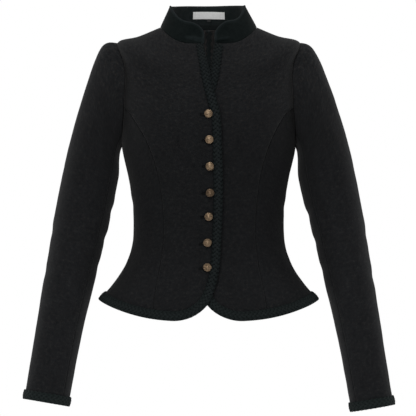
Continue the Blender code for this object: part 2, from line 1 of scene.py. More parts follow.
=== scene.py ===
"""The looks of a short Tyrolean loden jacket, hollow and standing as on its wearer.

The cloth, plaits, collar and buttons are built on the forms of the CAD solids, in metres: +Z is
up, the wearer faces -Y and their left is +X. Each class holds the sizes of one sub-assembly.
"""

from __future__ import annotations

import logging
import math
from collections.abc import Callable, Sequence
from dataclasses import dataclass, field
from enum import Enum, Flag, IntEnum, auto

import bmesh
import bpy
import numpy as np
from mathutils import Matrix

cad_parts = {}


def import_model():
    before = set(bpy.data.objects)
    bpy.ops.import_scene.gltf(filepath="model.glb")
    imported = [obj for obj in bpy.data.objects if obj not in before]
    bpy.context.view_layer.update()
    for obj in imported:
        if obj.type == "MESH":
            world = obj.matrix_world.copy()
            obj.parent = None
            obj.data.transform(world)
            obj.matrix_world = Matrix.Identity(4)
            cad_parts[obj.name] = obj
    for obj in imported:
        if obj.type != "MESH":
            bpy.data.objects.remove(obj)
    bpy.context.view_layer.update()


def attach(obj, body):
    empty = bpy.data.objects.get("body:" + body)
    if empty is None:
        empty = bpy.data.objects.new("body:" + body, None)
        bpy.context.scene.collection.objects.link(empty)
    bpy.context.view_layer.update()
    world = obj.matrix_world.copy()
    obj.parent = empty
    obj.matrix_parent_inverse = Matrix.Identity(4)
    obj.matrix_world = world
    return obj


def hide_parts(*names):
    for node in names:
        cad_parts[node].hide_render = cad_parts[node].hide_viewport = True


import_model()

LOG = logging.getLogger("loden_jacket")
Array = np.ndarray
Pair = tuple[float, float]
Triple = tuple[float, float, float]
Quad = tuple[float, float, float, float]
Colour = Triple
Surface = Callable[..., Array]
Sockets = dict[str | int, object]


class Side(IntEnum):
    """A side of the wearer, as the sign of x."""

    RIGHT = -1
    LEFT = 1

    @property
    def word(self) -> str:
        """The side's word in a name."""
        return self.name.lower()


class Face(IntEnum):
    """The front or back of the body, as the sign of y."""

    FRONT = -1
    BACK = 1


class Edge(Flag):
    """An edge of a grid of cloth: its first or last column, or its lowest or highest row."""

    FIRST = auto()
    LAST = auto()
    LOW = auto()
    HIGH = auto()


class Slot(Enum):
    """The material slots."""

    LODEN = "loden"
    GREEN = "green_cloth"
    BRAID = "braid"
    LINING = "lining"
    LABEL = "label"
    TAB = "tab"
    BRASS = "old_brass"


# ------------------------------------------------------------------ small tools

# How far from a seam the cloth has its nearest rows
SEAM_ROWS = (0.0, 0.0007, 0.0014, 0.0023, 0.0035, 0.0052)


def unit(vectors: Array) -> Array:
    """The vectors at length one."""
    return vectors / np.maximum(np.linalg.norm(vectors, axis=-1, keepdims=True), 1e-12)


def blend(a: Array | float, b: Array | float, share: Array | float) -> Array:
    """The value this share of the way from a to b."""
    return a + (b - a) * share


def ease(share: Array | float) -> Array:
    """0 below 0, 1 above 1, and smooth between."""
    share = np.clip(share, 0.0, 1.0)
    return share * share * (3 - 2 * share)


def bell(distance: Array | float, width: float) -> Array:
    """A smooth hump, 1 at no distance."""
    return np.exp(-((distance / width) ** 2))


def travelled(points: Array) -> Array:
    """How far along a line of points each one lies."""
    return np.concatenate([[0], np.cumsum(np.linalg.norm(np.diff(points, axis=0), axis=1))])


def ridge(run: Array, size: Triple) -> Array:
    """A rounded ridge across a run: its height, where it lies and its spread."""
    return size[0] * bell(run - size[1], size[2])


def spaced(length: float, pitch: float, close_first: bool, close_last: bool) -> Array:
    """Shares of a length, near a pitch apart and closer beside a seam.

    Args:
        length: the real length that the shares divide.
        pitch: the spacing away from seams.
        close_first: whether the start is a seam.
        close_last: whether the end is a seam.

    Returns:
        Rising shares from 0 to 1.
    """
    near = np.array(SEAM_ROWS) / length
    head = near if close_first else np.array([0.0])
    tail = 1 - near[::-1] if close_last else np.array([1.0])
    count = max(int(round((tail[0] - head[-1]) * length / pitch)), 1)
    return np.concatenate([head[:-1], np.linspace(head[-1], tail[0], count + 1), tail[1:]])


def ripple(points: Array, size: float, seed: float) -> Array:
    """A slow, uneven swell over space, between about -1 and 1.

    Args:
        points: places, the last axis x, y and z.
        size: the usual length of a swell.
        seed: a number that sets where the swells fall.

    Returns:
        The swell at each place.
    """
    total = np.zeros(points.shape[:-1])
    for k in range(5):
        way = np.array([math.sin(2.1 * k + seed), math.cos(1.3 * k + seed), math.sin(3.7 * k - seed)])
        way = way / np.linalg.norm(way) * (1.0 + 0.37 * k) / size
        total += np.sin(points @ way * math.tau + 5.1 * k * seed) / (1.0 + 0.4 * k)
    return total / 2.6


@dataclass(frozen=True)
class Table:
    """Rows of sizes under named columns, read smoothly by the first column."""

    names: str
    rows: tuple[tuple[float, ...], ...]

    def read(self, name: str, key: Array | float) -> Array:
        """The named column's value at each key.

        Args:
            name: the column.
            key: where to read it, in the first column's terms.

        Returns:
            The values.
        """
        data = np.asarray(self.rows, float)
        keys, values = data[:, 0], data[:, self.names.split().index(name)]
        slopes = np.empty(len(keys))
        slopes[1:-1] = (values[2:] - values[:-2]) / (keys[2:] - keys[:-2])
        slopes[0] = (values[1] - values[0]) / (keys[1] - keys[0])
        slopes[-1] = (values[-1] - values[-2]) / (keys[-1] - keys[-2])
        row = np.clip(np.searchsorted(keys, key, side="left") - 1, 0, len(keys) - 2)
        span = keys[row + 1] - keys[row]
        t = np.clip((key - keys[row]) / span, 0.0, 1.0)
        t2, t3 = t * t, t * t * t
        return (
            values[row] * (2 * t3 - 3 * t2 + 1)
            + values[row + 1] * (3 * t2 - 2 * t3)
            + span * slopes[row] * (t3 - 2 * t2 + t)
            + span * slopes[row + 1] * (t3 - t2)
        )


# ------------------------------------------------------------------ the forms


@dataclass(frozen=True)
class Torso:
    """The body's surface, and where its panels meet on it."""

    shape: Table = Table(
        "level side_z back_z half_width front_depth back_depth square rise",
        (
            (0.000, -0.467, -0.473, 0.1875, 0.133, 0.143, 2.10, 4.7),
            (0.047, -0.436, -0.438, 0.1610, 0.125, 0.126, 2.10, 4.2),
            (0.087, -0.403, -0.404, 0.1410, 0.113, 0.109, 2.15, 3.6),
            (0.122, -0.372, -0.373, 0.1310, 0.103, 0.095, 2.20, 3.0),
            (0.157, -0.340, -0.340, 0.1290, 0.098, 0.089, 2.25, 2.5),
            (0.201, -0.296, -0.296, 0.1315, 0.102, 0.093, 2.30, 2.5),
            (0.239, -0.258, -0.258, 0.1375, 0.108, 0.100, 2.35, 2.5),
            (0.292, -0.205, -0.205, 0.1490, 0.114, 0.109, 2.50, 3.0),
            (0.354, -0.118, -0.133, 0.1550, 0.108, 0.112, 2.70, 4.4),
            (0.397, -0.056, -0.075, 0.1505, 0.096, 0.106, 2.70, 5.0),
            (0.417, -0.026, -0.055, 0.1560, 0.088, 0.098, 2.70, 5.2),
            (0.441, -0.0148, -0.020, 0.1190, 0.076, 0.078, 2.35, 5.6),
            (0.4645, 0.000, 0.004, 0.0830, 0.062, 0.058, 2.10, 5.8),
        ),
    )
    front_edge: Table = Table(
        "level over under",
        (
            (0.000, 0.0170, 0.0205),
            (0.020, 0.0165, 0.0205),
            (0.047, 0.0128, 0.0180),
            (0.072, 0.0150, 0.0205),
            (0.092, 0.0182, 0.0238),
            (0.131, 0.0205, 0.0240),
            (0.210, 0.0232, 0.0260),
            (0.300, 0.0223, 0.0245),
            (0.340, 0.0202, 0.0195),
            (0.360, 0.0152, 0.0130),
            (0.384, 0.0082, 0.0048),
            (0.416, 0.0010, -0.0028),
            (0.438, -0.0044, -0.0056),
            (0.4645, -0.0094, -0.0100),
        ),
    )
    princess: Table = Table(
        "level front_right front_left back",
        (
            (0.000, 0.0930, 0.0985, 0.0760),
            (0.040, 0.0895, 0.0928, 0.0680),
            (0.079, 0.0825, 0.0845, 0.0600),
            (0.119, 0.0765, 0.0792, 0.0540),
            (0.155, 0.0750, 0.0775, 0.0520),
            (0.197, 0.0775, 0.0806, 0.0550),
            (0.242, 0.0840, 0.0862, 0.0640),
            (0.279, 0.0950, 0.0958, 0.0780),
            (0.303, 0.1060, 0.1058, 0.0900),
            (0.318, 0.1168, 0.1150, 0.1040),
            (0.328, 0.1256, 0.1225, 0.1180),
            (0.336, 0.1330, 0.1300, 0.1300),
        ),
    )
    hem_z: float = -0.497
    probe: Pair = (0.01, 0.001)
    bust: Triple = (0.0100, 0.082, -0.186)
    bust_spread: Pair = (0.040, 0.050)
    armhole: Triple = (0.292, 0.417, math.radians(22.5))
    armhole_steps: int = 26
    princess_step: float = 7.3
    hole_run: float = 0.088
    shoulder_run: float = 0.075
    corner: Pair = (0.072, 0.079)
    corner_run: float = 1.45
    lap: Triple = (0.0060, 0.050, 0.004)
    lap_top: Pair = (0.424, 0.458)

    @property
    def top(self) -> float:
        """The level of the neckline."""
        return self.shape.rows[-1][0]

    def skin(self, angle: Array, level: Array, face: Array, side: Array) -> Array:
        """Points of the body, by the turn from the centre front or back.

        Args:
            angle: the turn, in radians.
            level: the height above the hem, measured at the centre front.
            face: Face.FRONT or Face.BACK.
            side: Side.RIGHT or Side.LEFT.

        Returns:
            The points.
        """
        angle, level, face, side = np.broadcast_arrays(angle, level, face, side)
        front = face == Face.FRONT
        read = self.shape.read
        width, power = read("half_width", level), read("square", level)
        depth = np.where(front, read("front_depth", level), read("back_depth", level))
        bulge = (np.abs(np.cos(angle)) / depth) ** power + (np.abs(np.sin(angle)) / width) ** power
        radius = bulge ** (-1 / power)
        x, y = radius * np.sin(angle), face * radius * np.cos(angle)
        centre = np.where(front, self.hem_z + level, read("back_z", level))
        rise = np.abs(np.sin(angle)) ** read("rise", level)
        z = blend(centre, read("side_z", level), rise)
        fullness, bust_x, bust_z = self.bust
        off_x = (np.abs(x) - bust_x) / self.bust_spread[0]
        off_z = (z - bust_z) / self.bust_spread[1]
        y = y - front * fullness * np.exp(-(off_x**2 + off_z**2) / 2) * np.cos(angle)
        return np.stack([side * x, y, z], axis=-1)

    def facing(self, surface: Surface, angle: Array, level: Array, face: Array, side: Array) -> Array:
        """Outward normals of one of the body's surfaces.

        Args:
            surface: skin or cloth.
            angle, level, face, side: as in skin.

        Returns:
            Unit normals.
        """
        angle, level, face, side = np.broadcast_arrays(angle, level, face, side)
        by, up = self.probe
        near = np.clip(level, up, self.top - up)
        turn = surface(angle + by, near, face, side) - surface(angle - by, near, face, side)
        climb = surface(angle, near + up, face, side) - surface(angle, near - up, face, side)
        return unit(np.cross(turn, climb) * -(face * side)[..., None])

    def lift(self, x: Array, level: Array) -> Array:
        """How far the right front stands off, to lie over the left one.

        Args:
            x: the place across.
            level: as in skin.

        Returns:
            The heights.
        """
        height, run, margin = self.lap
        left_edge = -self.edge_reach(np.maximum(level, 0.0), Side.LEFT)
        across = ease((x - left_edge + margin) / run + 1)
        return height * across * ease((self.lap_top[1] - level) / (self.lap_top[1] - self.lap_top[0]))

    def cloth(self, angle: Array, level: Array, face: Array, side: Array) -> Array:
        """Points of the cloth's outside: the body, lifted where the fronts lap.

        Args:
            angle, level, face, side: as in skin.

        Returns:
            The points.
        """
        angle, level, face, side = np.broadcast_arrays(angle, level, face, side)
        point = self.skin(angle, level, face, side)
        over = (face == Face.FRONT) & (side == Side.RIGHT)
        if not over.any():
            return point
        lift = np.where(over, self.lift(point[..., 0], level), 0.0)
        return point + self.facing(self.skin, angle, level, face, side) * lift[..., None]

    def angle_at(self, x: Array, level: Array, face: Face) -> Array:
        """The turn at which the section at a level is x from the centre line.

        Args:
            x: the place across.
            level, face: as in skin.

        Returns:
            The turns.
        """
        width = self.shape.read("half_width", level)
        depth = self.shape.read("front_depth" if face == Face.FRONT else "back_depth", level)
        power = self.shape.read("square", level)
        return np.arctan2(x, depth * (1 - (np.abs(x) / width) ** power) ** (1 / power))

    def edge_reach(self, level: Array, side: Side) -> Array:
        """How far a front's edge lies past the centre front.

        Args:
            level, side: as in skin.

        Returns:
            The distances.
        """
        height, reach = self.corner
        low = np.clip((height - level) / height, 0.0, 1.0)
        above = self.front_edge.read("over" if side == Side.RIGHT else "under", level)
        return above - reach * (1 - np.sqrt(1 - low * low))

    def edge_angle(self, level: Array, side: Side) -> Array:
        """The turn of a front's edge."""
        return self.angle_at(-self.edge_reach(level, side), level, Face.FRONT)

    def armhole_place(self, step: Array) -> tuple[Array, Array, Array]:
        """Places of the armhole, by steps from the shoulder to the front.

        Args:
            step: how far round, in armhole steps.

        Returns:
            The turns, levels and faces.
        """
        low, high, spread = self.armhole
        turn = math.tau * np.asarray(step) / self.armhole_steps
        wide = spread * np.sin(turn)
        level = (high + low) / 2 + (high - low) / 2 * np.cos(turn)
        return math.pi / 2 - np.abs(wide), level, np.where(wide >= 0, Face.FRONT, Face.BACK)

    def princess_angle(self, level: Array, face: Face, side: Side) -> Array:
        """The turn of a princess seam.

        Args:
            level, face, side: as in skin.

        Returns:
            The turns.
        """
        name = f"front_{side.word}" if face == Face.FRONT else "back"
        column = self.princess.names.split().index(name)
        rows = [(row[0], float(self.angle_at(row[column], row[0], face))) for row in self.princess.rows]
        top_angle, top_level, _ = self.armhole_place(self.princess_step)
        rows.append((float(top_level), float(top_angle)))
        return Table("level angle", tuple(rows)).read("angle", level)

    def outer_angle(self, level: Array, face: Face, side: Side = Side.RIGHT) -> Array:
        """The turn of the outer side of a front or back: princess seam, armhole, shoulder.

        Args:
            level, face, side: as in skin.

        Returns:
            The turns.
        """
        low, high, spread = self.armhole
        _, seam_top, _ = self.armhole_place(self.princess_step)
        turn = np.arccos(np.clip((level - (high + low) / 2) * 2 / (high - low), -1, 1))
        hole = math.pi / 2 - spread * np.sin(turn)
        above = np.where(level < high, hole, math.pi / 2)
        return np.where(level <= seam_top, self.princess_angle(level, face, side), above)

    def panel_levels(self, pitch: float) -> Array:
        """Levels for a front's or back's rows, closer where its outline bends fast.

        Args:
            pitch: the usual spacing.

        Returns:
            Rising levels, from the hem to the neckline.
        """
        height = self.corner[0]
        turns = np.linspace(math.pi / 2, 0, int(self.corner_run * height / pitch))
        corner = height * (1 - np.sin(turns))
        _, seam_top, _ = self.armhole_place(self.princess_step)
        middle = np.linspace(height, float(seam_top), int((seam_top - height) / pitch))
        steps = np.linspace(self.princess_step, 0, int(self.hole_run / pitch) + 1)
        hole = self.armhole_place(steps)[1]
        shoulder = hole[-1] + (self.top - hole[-1]) * spaced(self.shoulder_run, pitch, False, True)
        return np.concatenate([corner, middle[1:], hole[1:], shoulder[1:]])


@dataclass(frozen=True)
class Hang:
    """How one sleeve hangs on its arm, and how much wider, puffed and full below, in metres."""

    drop: float
    forward: float
    out: float
    widen: float
    puff: float
    under: float


HANGS = {
    Side.RIGHT: Hang(drop=0.392, forward=0.024, out=-0.0016, widen=0.0016, puff=0.0172, under=0.0),
    Side.LEFT: Hang(drop=0.402, forward=0.020, out=0.0008, widen=0.0, puff=0.0102, under=0.0052),
}


@dataclass(frozen=True)
class SleeveForm:
    """The surface of a sleeve: travel is -1 at the armhole, 0 at the biceps, 1 at the cuff."""

    side: Side
    torso: Torso
    shape: Table = Table(
        "along x half_width half_depth",
        (
            (0.000, 0.2035, 0.0460, 0.0520),
            (0.128, 0.2135, 0.0463, 0.0510),
            (0.256, 0.2240, 0.0450, 0.0490),
            (0.384, 0.2340, 0.0426, 0.0465),
            (0.512, 0.2445, 0.0408, 0.0440),
            (0.640, 0.2545, 0.0388, 0.0415),
            (0.768, 0.2635, 0.0375, 0.0395),
            (0.896, 0.2720, 0.0368, 0.0380),
            (1.000, 0.2790, 0.0365, 0.0375),
        ),
    )
    biceps_z: float = -0.250
    under_run: float = 0.14
    puff_run: Pair = (0.022, 0.105)
    start_gap: float = 0.000384
    cap_lean: float = 0.75
    cap_out: Pair = (0.30, 0.95)
    cap_pull: Pair = (0.9, 0.46)

    @property
    def hang(self) -> Hang:
        """The way this side's sleeve hangs."""
        return HANGS[self.side]

    def centre(self, along: Array) -> Array:
        """The middle of the sleeve, before it is mirrored.

        Args:
            along: the share of the way from biceps to cuff.

        Returns:
            The points.
        """
        along = np.asarray(along, float)
        x = self.shape.read("x", along) + self.hang.out
        y = -self.hang.forward * np.maximum(along, 0) ** 2
        return np.stack([x, y, self.biceps_z - along * self.hang.drop], axis=-1)

    def down(self, along: Array) -> Array:
        """The way the sleeve runs, down its middle."""
        near = np.clip(along, 0.01, 0.99)
        return unit(self.centre(near + 0.01) - self.centre(near - 0.01))

    def ring(self, step: Array, along: Array) -> Array:
        """Points below the biceps, before mirroring, steps turning from outside to front.

        Args:
            step: the turn, in armhole steps.
            along: the share of the way from biceps to cuff.

        Returns:
            The points.
        """
        step, along = np.broadcast_arrays(step, along)
        turn = (math.tau * step / self.torso.armhole_steps)[..., None]
        down = self.down(along)
        outside = unit(np.array([1.0, 0.0, 0.0]) - down * down[..., :1])
        front = np.cross(down, outside)
        width = (self.shape.read("half_width", along) + self.hang.widen)[..., None]
        depth = self.shape.read("half_depth", along)[..., None]
        inside = np.maximum(-np.cos(turn), 0.0) * bell(along, self.under_run)[..., None]
        width = width + self.hang.under * inside
        return self.centre(along) + outside * np.cos(turn) * width + front * np.sin(turn) * depth

    def cap(self, step: Array, share: Array) -> Array:
        """Points between the armhole, at share 0, and the biceps, at share 1.

        Args:
            step: the turn, in armhole steps.
            share: how far down from the armhole.

        Returns:
            The points, before mirroring.
        """
        step, share = np.broadcast_arrays(step, share)
        angle, level, face = self.torso.armhole_place(step)
        turn = math.tau * step / self.torso.armhole_steps
        upper = np.cos(turn) * 0.5 + 0.5
        end = self.ring(step, np.zeros(step.shape))
        start = self.torso.skin(angle, level, face, 1)
        reach = end - start
        length = np.linalg.norm(reach, axis=-1, keepdims=True)
        out = unit(reach) * self.cap_lean
        out[..., 0] += blend(*self.cap_out, upper)
        out = unit(out) * length * blend(*self.cap_pull, upper)[..., None]
        start = start + unit(out) * self.start_gap
        down = self.down(np.zeros(step.shape)) * length
        t = share[..., None]
        t2, t3 = t * t, t * t * t
        point = start * (2 * t3 - 3 * t2 + 1) + end * (3 * t2 - 2 * t3)
        point = point + out * (t3 - 2 * t2 + t) + down * (t3 - t2)
        run = share * length[..., 0]
        rise, fall = self.puff_run
        puff = self.hang.puff * np.maximum(np.cos(turn), 0.0) ** 1.5
        puff = puff * (1 - np.exp(-((run / rise) ** 2))) * np.exp(-((run / fall) ** 2))
        outward = unit(end - self.centre(0.0))
        away = unit(blend(np.array([0.0, 0.0, 1.0]), outward, (share**0.3)[..., None]))
        return point + away * puff[..., None]

    def point(self, step: Array, travel: Array) -> Array:
        """Points of the sleeve.

        Args:
            step: the turn, in armhole steps.
            travel: -1 at the armhole, 0 at the biceps, 1 at the cuff.

        Returns:
            The points.
        """
        step, travel = np.broadcast_arrays(step, travel)
        cap = self.cap(step, np.clip(travel + 1, 0, 1))
        arm = self.ring(step, np.clip(travel, 0, 1))
        point = np.where((travel < 0)[..., None], cap, arm)
        return point * np.array([float(self.side), 1.0, 1.0])

    def normal(self, step: Array, travel: Array) -> Array:
        """Outward unit normals of the sleeve.

        Args:
            step, travel: as in point.

        Returns:
            The normals.
        """
        near = np.clip(travel, -0.996, 0.996)
        turn = self.point(step + 0.2, near) - self.point(step - 0.2, near)
        run = self.point(step, near + 0.004) - self.point(step, near - 0.004)
        return unit(np.cross(turn, run) * float(self.side))


# ------------------------------------------------------------------ creases

# The cloth's own unevenness: the length of a swell, where its pattern starts and its height
SWELLS = ((0.075, 0.0, 0.00030), (0.031, 1.7, 0.00010))


class Seen(Enum):
    """The side that a crease is drawn from: its way, and the axes of its drawing."""

    FRONT = ((0, -1, 0), (0, 2))
    BACK = ((0, 1, 0), (0, 2))
    RIGHT = ((-1, 0, 0), (1, 2))
    LEFT = ((1, 0, 0), (1, 2))


# How fast a crease fades in and out along its way, and where the cloth turns from view
FADE_IN, FADE_OUT, FADE_ROUND = 3.2, 2.4, 2.2
# How far beside a crease the cloth falls back, in widths
BESIDE_AT = 1.7


@dataclass(frozen=True)
class Crease:
    """A soft fold through three places, in millimetres as seen from one side.

    width and depth are in millimetres too, a depth below 0 being a trough. beside is the share
    of its depth by which the cloth falls back on the left of its way.
    """

    seen: Seen
    start: Pair
    middle: Pair
    end: Pair
    width: float
    depth: float
    beside: float = 0.35

    def height(self, points: Array, normals: Array) -> Array:
        """How far the crease moves each place along its normal.

        Args:
            points: places on the cloth.
            normals: their outward normals.

        Returns:
            The moves, in metres.
        """
        way, axes = self.seen.value
        flat = points[..., list(axes)] * 1000
        t = np.linspace(0, 1, 25)[:, None]
        p0, p1, p2 = (np.array(p, float) for p in (self.start, self.middle, self.end))
        pull = 2 * p1 - (p0 + p2) / 2
        line = p0 * (1 - t) ** 2 + pull * 2 * t * (1 - t) + p2 * t * t
        ways = unit(np.gradient(line, axis=0))
        best = np.full(flat.shape[:-1], 1e9)
        across, place = np.zeros_like(best), np.zeros_like(best)
        for k, (at, along) in enumerate(zip(line, ways)):
            off = flat - at
            distance = np.hypot(off[..., 0], off[..., 1])
            nearer = distance < best
            best = np.where(nearer, distance, best)
            side = along[0] * off[..., 1] - along[1] * off[..., 0]
            across = np.where(nearer, np.sign(side) * distance, across)
            run = k / 24 + (off @ along) / 24 / max(np.linalg.norm(line[1] - line[0]), 1e-6)
            place = np.where(nearer, run, place)
        fade = ease(place * FADE_IN) * ease((1 - place) * FADE_OUT)
        fallen = self.beside * bell(across - BESIDE_AT * self.width, self.width)
        shape = bell(across, self.width) - fallen
        toward = np.clip((normals @ np.array(way, float)) * FADE_ROUND, 0, 1)
        return shape * fade * toward * self.depth / 1000


def folds(seen: Seen, *rows: tuple[float, ...]) -> tuple[Crease, ...]:
    """Creases drawn from one side: the x and y of three places, then the other fields."""
    return tuple(Crease(seen, row[:2], row[2:4], row[4:6], *row[6:]) for row in rows)


BODY_CREASES = (
    *folds(
        Seen.FRONT,
        (-21, -42, -34, -58, -40, -84, 7.0, -0.9),
        (-30, -31, -52, -44, -70, -64, 8.0, -0.6),
        (24, -38, 33, -54, 37, -80, 7.0, -1.0),
        (36, -29, 60, -42, 80, -60, 9.0, -0.6),
        (-136, -152, -128, -178, -124, -208, 8.0, -1.1),
        (134, -150, 127, -176, 124, -204, 9.0, -1.2),
        (-118, -292, -92, -300, -64, -297, 9.0, -0.6),
        (-122, -322, -100, -330, -72, -333, 8.0, -0.5),
        (120, -300, 96, -309, 60, -305, 9.0, -0.6),
        (122, -336, 98, -343, 74, -340, 8.0, -0.5),
        (-104, -372, -112, -412, -128, -450, 12.0, 1.3),
        (-60, -392, -62, -430, -66, -468, 13.0, 0.8),
        (112, -368, 126, -402, 146, -432, 9.0, 1.8, 0.6),
        (86, -380, 96, -420, 108, -458, 11.0, 1.1),
        (44, -396, 50, -430, 52, -466, 13.0, 0.7),
    ),
    *folds(
        Seen.BACK,
        (-112, -290, -70, -303, -18, -299, 9.0, -1.1),
        (-104, -318, -62, -329, -24, -324, 8.0, -0.8),
        (114, -296, 74, -308, 26, -303, 9.0, -1.0),
        (100, -326, 66, -335, 30, -331, 8.0, -0.7),
        (-132, -140, -116, -166, -104, -204, 9.0, -1.3),
        (130, -138, 118, -160, 108, -196, 9.0, -1.2),
        (-84, -52, -66, -78, -40, -92, 10.0, -0.8),
        (88, -56, 64, -80, 34, -90, 10.0, -0.7),
        (-84, -376, -92, -420, -106, -458, 13.0, 1.9),
        (-34, -384, -38, -426, -44, -466, 14.0, 1.5),
        (30, -382, 36, -422, 40, -468, 14.0, 1.6),
        (88, -374, 98, -416, 112, -456, 13.0, 1.8),
    ),
    *folds(
        Seen.RIGHT,
        (-22, -372, -30, -410, -44, -446, 12.0, 1.6),
        (26, -370, 36, -408, 50, -448, 13.0, 1.8),
        (-40, -296, 0, -304, 44, -299, 9.0, -1.0),
    ),
    *folds(
        Seen.LEFT,
        (-20, -372, -28, -408, -40, -444, 12.0, 1.7),
        (30, -368, 38, -410, 54, -446, 13.0, 1.8),
        (-44, -300, -4, -309, 40, -303, 9.0, -1.0),
    ),
)

SLEEVE_CREASES = {
    Side.RIGHT: (
        *folds(
            Seen.FRONT,
            (-158, -148, -166, -176, -182, -204, 8.0, -1.6),
            (-152, -166, -164, -200, -168, -236, 7.0, -1.2),
            (-186, -64, -196, -86, -200, -112, 11.0, -0.8),
            (-196, -318, -216, -327, -238, -324, 9.0, -0.9),
            (-200, -354, -224, -366, -246, -362, 9.0, -0.8),
            (-262, -360, -244, -384, -228, -396, 10.0, 0.8),
            (-226, -470, -244, -482, -262, -480, 9.0, -0.7),
            (-248, -556, -262, -566, -282, -562, 9.0, -0.7),
        ),
        *folds(
            Seen.BACK,
            (-170, -150, -190, -186, -198, -230, 10.0, -1.4),
            (-206, -340, -228, -352, -254, -346, 9.0, -2.0),
            (-204, -366, -230, -380, -258, -376, 8.0, -1.6),
            (-214, -398, -236, -410, -262, -404, 8.0, -1.2),
        ),
        *folds(
            Seen.RIGHT,
            (-36, -330, -4, -352, 34, -356, 11.0, -1.1),
            (-44, -402, -10, -420, 28, -418, 10.0, -0.9),
        ),
        *folds(
            Seen.LEFT,
            (-30, -300, 0, -316, 30, -312, 9.0, -1.6),
            (-38, -346, -8, -362, 24, -358, 9.0, -1.5),
            (-40, -396, -12, -410, 20, -404, 9.0, -1.1),
        ),
    ),
    Side.LEFT: (
        *folds(
            Seen.FRONT,
            (160, -156, 170, -186, 178, -226, 8.0, -1.8),
            (150, -176, 158, -208, 166, -240, 6.0, -1.4),
            (188, -66, 198, -88, 206, -116, 11.0, -0.8),
            (176, -226, 184, -256, 190, -288, 6.0, 1.6, 0.7),
            (184, -296, 192, -322, 202, -352, 6.0, -1.5, 0.6),
            (198, -330, 222, -341, 244, -336, 9.0, -0.8),
            (262, -376, 246, -398, 230, -410, 10.0, 0.7),
            (230, -486, 248, -498, 268, -494, 9.0, -0.7),
            (254, -578, 268, -586, 286, -582, 9.0, -0.6),
        ),
        *folds(
            Seen.BACK,
            (168, -146, 186, -182, 200, -224, 10.0, -1.4),
            (208, -348, 232, -360, 258, -354, 9.0, -1.9),
            (210, -378, 234, -390, 262, -384, 8.0, -1.5),
            (216, -410, 240, -420, 264, -416, 8.0, -1.0),
        ),
        *folds(
            Seen.LEFT,
            (-34, -336, -2, -358, 34, -360, 11.0, -1.0),
            (-40, -410, -8, -428, 30, -424, 10.0, -0.9),
        ),
        *folds(
            Seen.RIGHT,
            (-30, -306, 0, -322, 30, -318, 9.0, -1.6),
            (-36, -352, -6, -368, 26, -362, 9.0, -1.4),
            (-38, -402, -10, -416, 22, -410, 9.0, -1.1),
        ),
    ),
}


def creased(creases: Sequence[Crease], points: Array, normals: Array, seed: float) -> Array:
    """The move of the whole cloth at each place: its creases and a low unevenness.

    Args:
        creases: the folds that the cloth carries.
        points: places on it.
        normals: their outward normals.
        seed: a number that sets the unevenness.

    Returns:
        The moves along the normals, in metres.
    """
    total = sum(ripple(points, size, seed + shift) * height for size, shift, height in SWELLS)
    for crease in creases:
        total = total + crease.height(points, normals)
    return total


# ------------------------------------------------------------------ nodes


def named(sockets: Sequence[bpy.types.NodeSocket], name: str) -> bpy.types.NodeSocket:
    """The socket of this name that is in use."""
    return next(socket for socket in sockets if socket.name == name and socket.enabled)


def _sums(operation: str) -> tuple[Callable[[Wire, Wire | float], Wire], ...]:
    """The two methods that put a wire before, and after, another value in a Math node.

    Args:
        operation: the node's operation.

    Returns:
        The method of the operator and its reflected form.
    """

    def before(self: Wire, other: Wire | float) -> Wire:
        """The node's output, this wire first."""
        return self.math(operation, self, other)

    def after(self: Wire, other: Wire | float) -> Wire:
        """The node's output, this wire last."""
        return self.math(operation, other, self)

    return before, after


class Wire:
    """A node's output, whose arithmetic adds Math nodes to its tree."""

    def __init__(self, shop: NodeShop, socket: bpy.types.NodeSocket) -> None:
        """Keeps the output and the shop that made it."""
        self.shop = shop
        self.socket = socket

    def math(self, operation: str, *values: Wire | float) -> Wire:
        """The output of a Math node on these values."""
        return self.shop.node("ShaderNodeMath", {"operation": operation}, dict(enumerate(values)))

    __add__, __radd__ = _sums("ADD")
    __sub__, __rsub__ = _sums("SUBTRACT")
    __mul__, __rmul__ = _sums("MULTIPLY")
    __truediv__, __rtruediv__ = _sums("DIVIDE")
    __pow__, __rpow__ = _sums("POWER")

    def sine(self) -> Wire:
        """The sine, in radians."""
        return self.math("SINE", self)

    def arcsine(self) -> Wire:
        """The arcsine, in radians."""
        return self.math("ARCSINE", self)

    def size(self) -> Wire:
        """The value without its sign."""
        return self.math("ABSOLUTE", self)

    def wave(self, length: float) -> Wire:
        """A triangle wave between 0 and 1, of this length."""
        return self.math("PINGPONG", self, length / 2) / (length / 2)

    def between(self, low: float, high: float) -> Wire:
        """0 at low, 1 at high, smooth between."""
        settings = {"interpolation_type": "SMOOTHSTEP"}
        return self.shop.node("ShaderNodeMapRange", settings, {"Value": self, 1: low, 2: high})

    def other(self, name: str) -> Wire:
        """Another output of the same node."""
        return Wire(self.shop, named(self.socket.node.outputs, name))


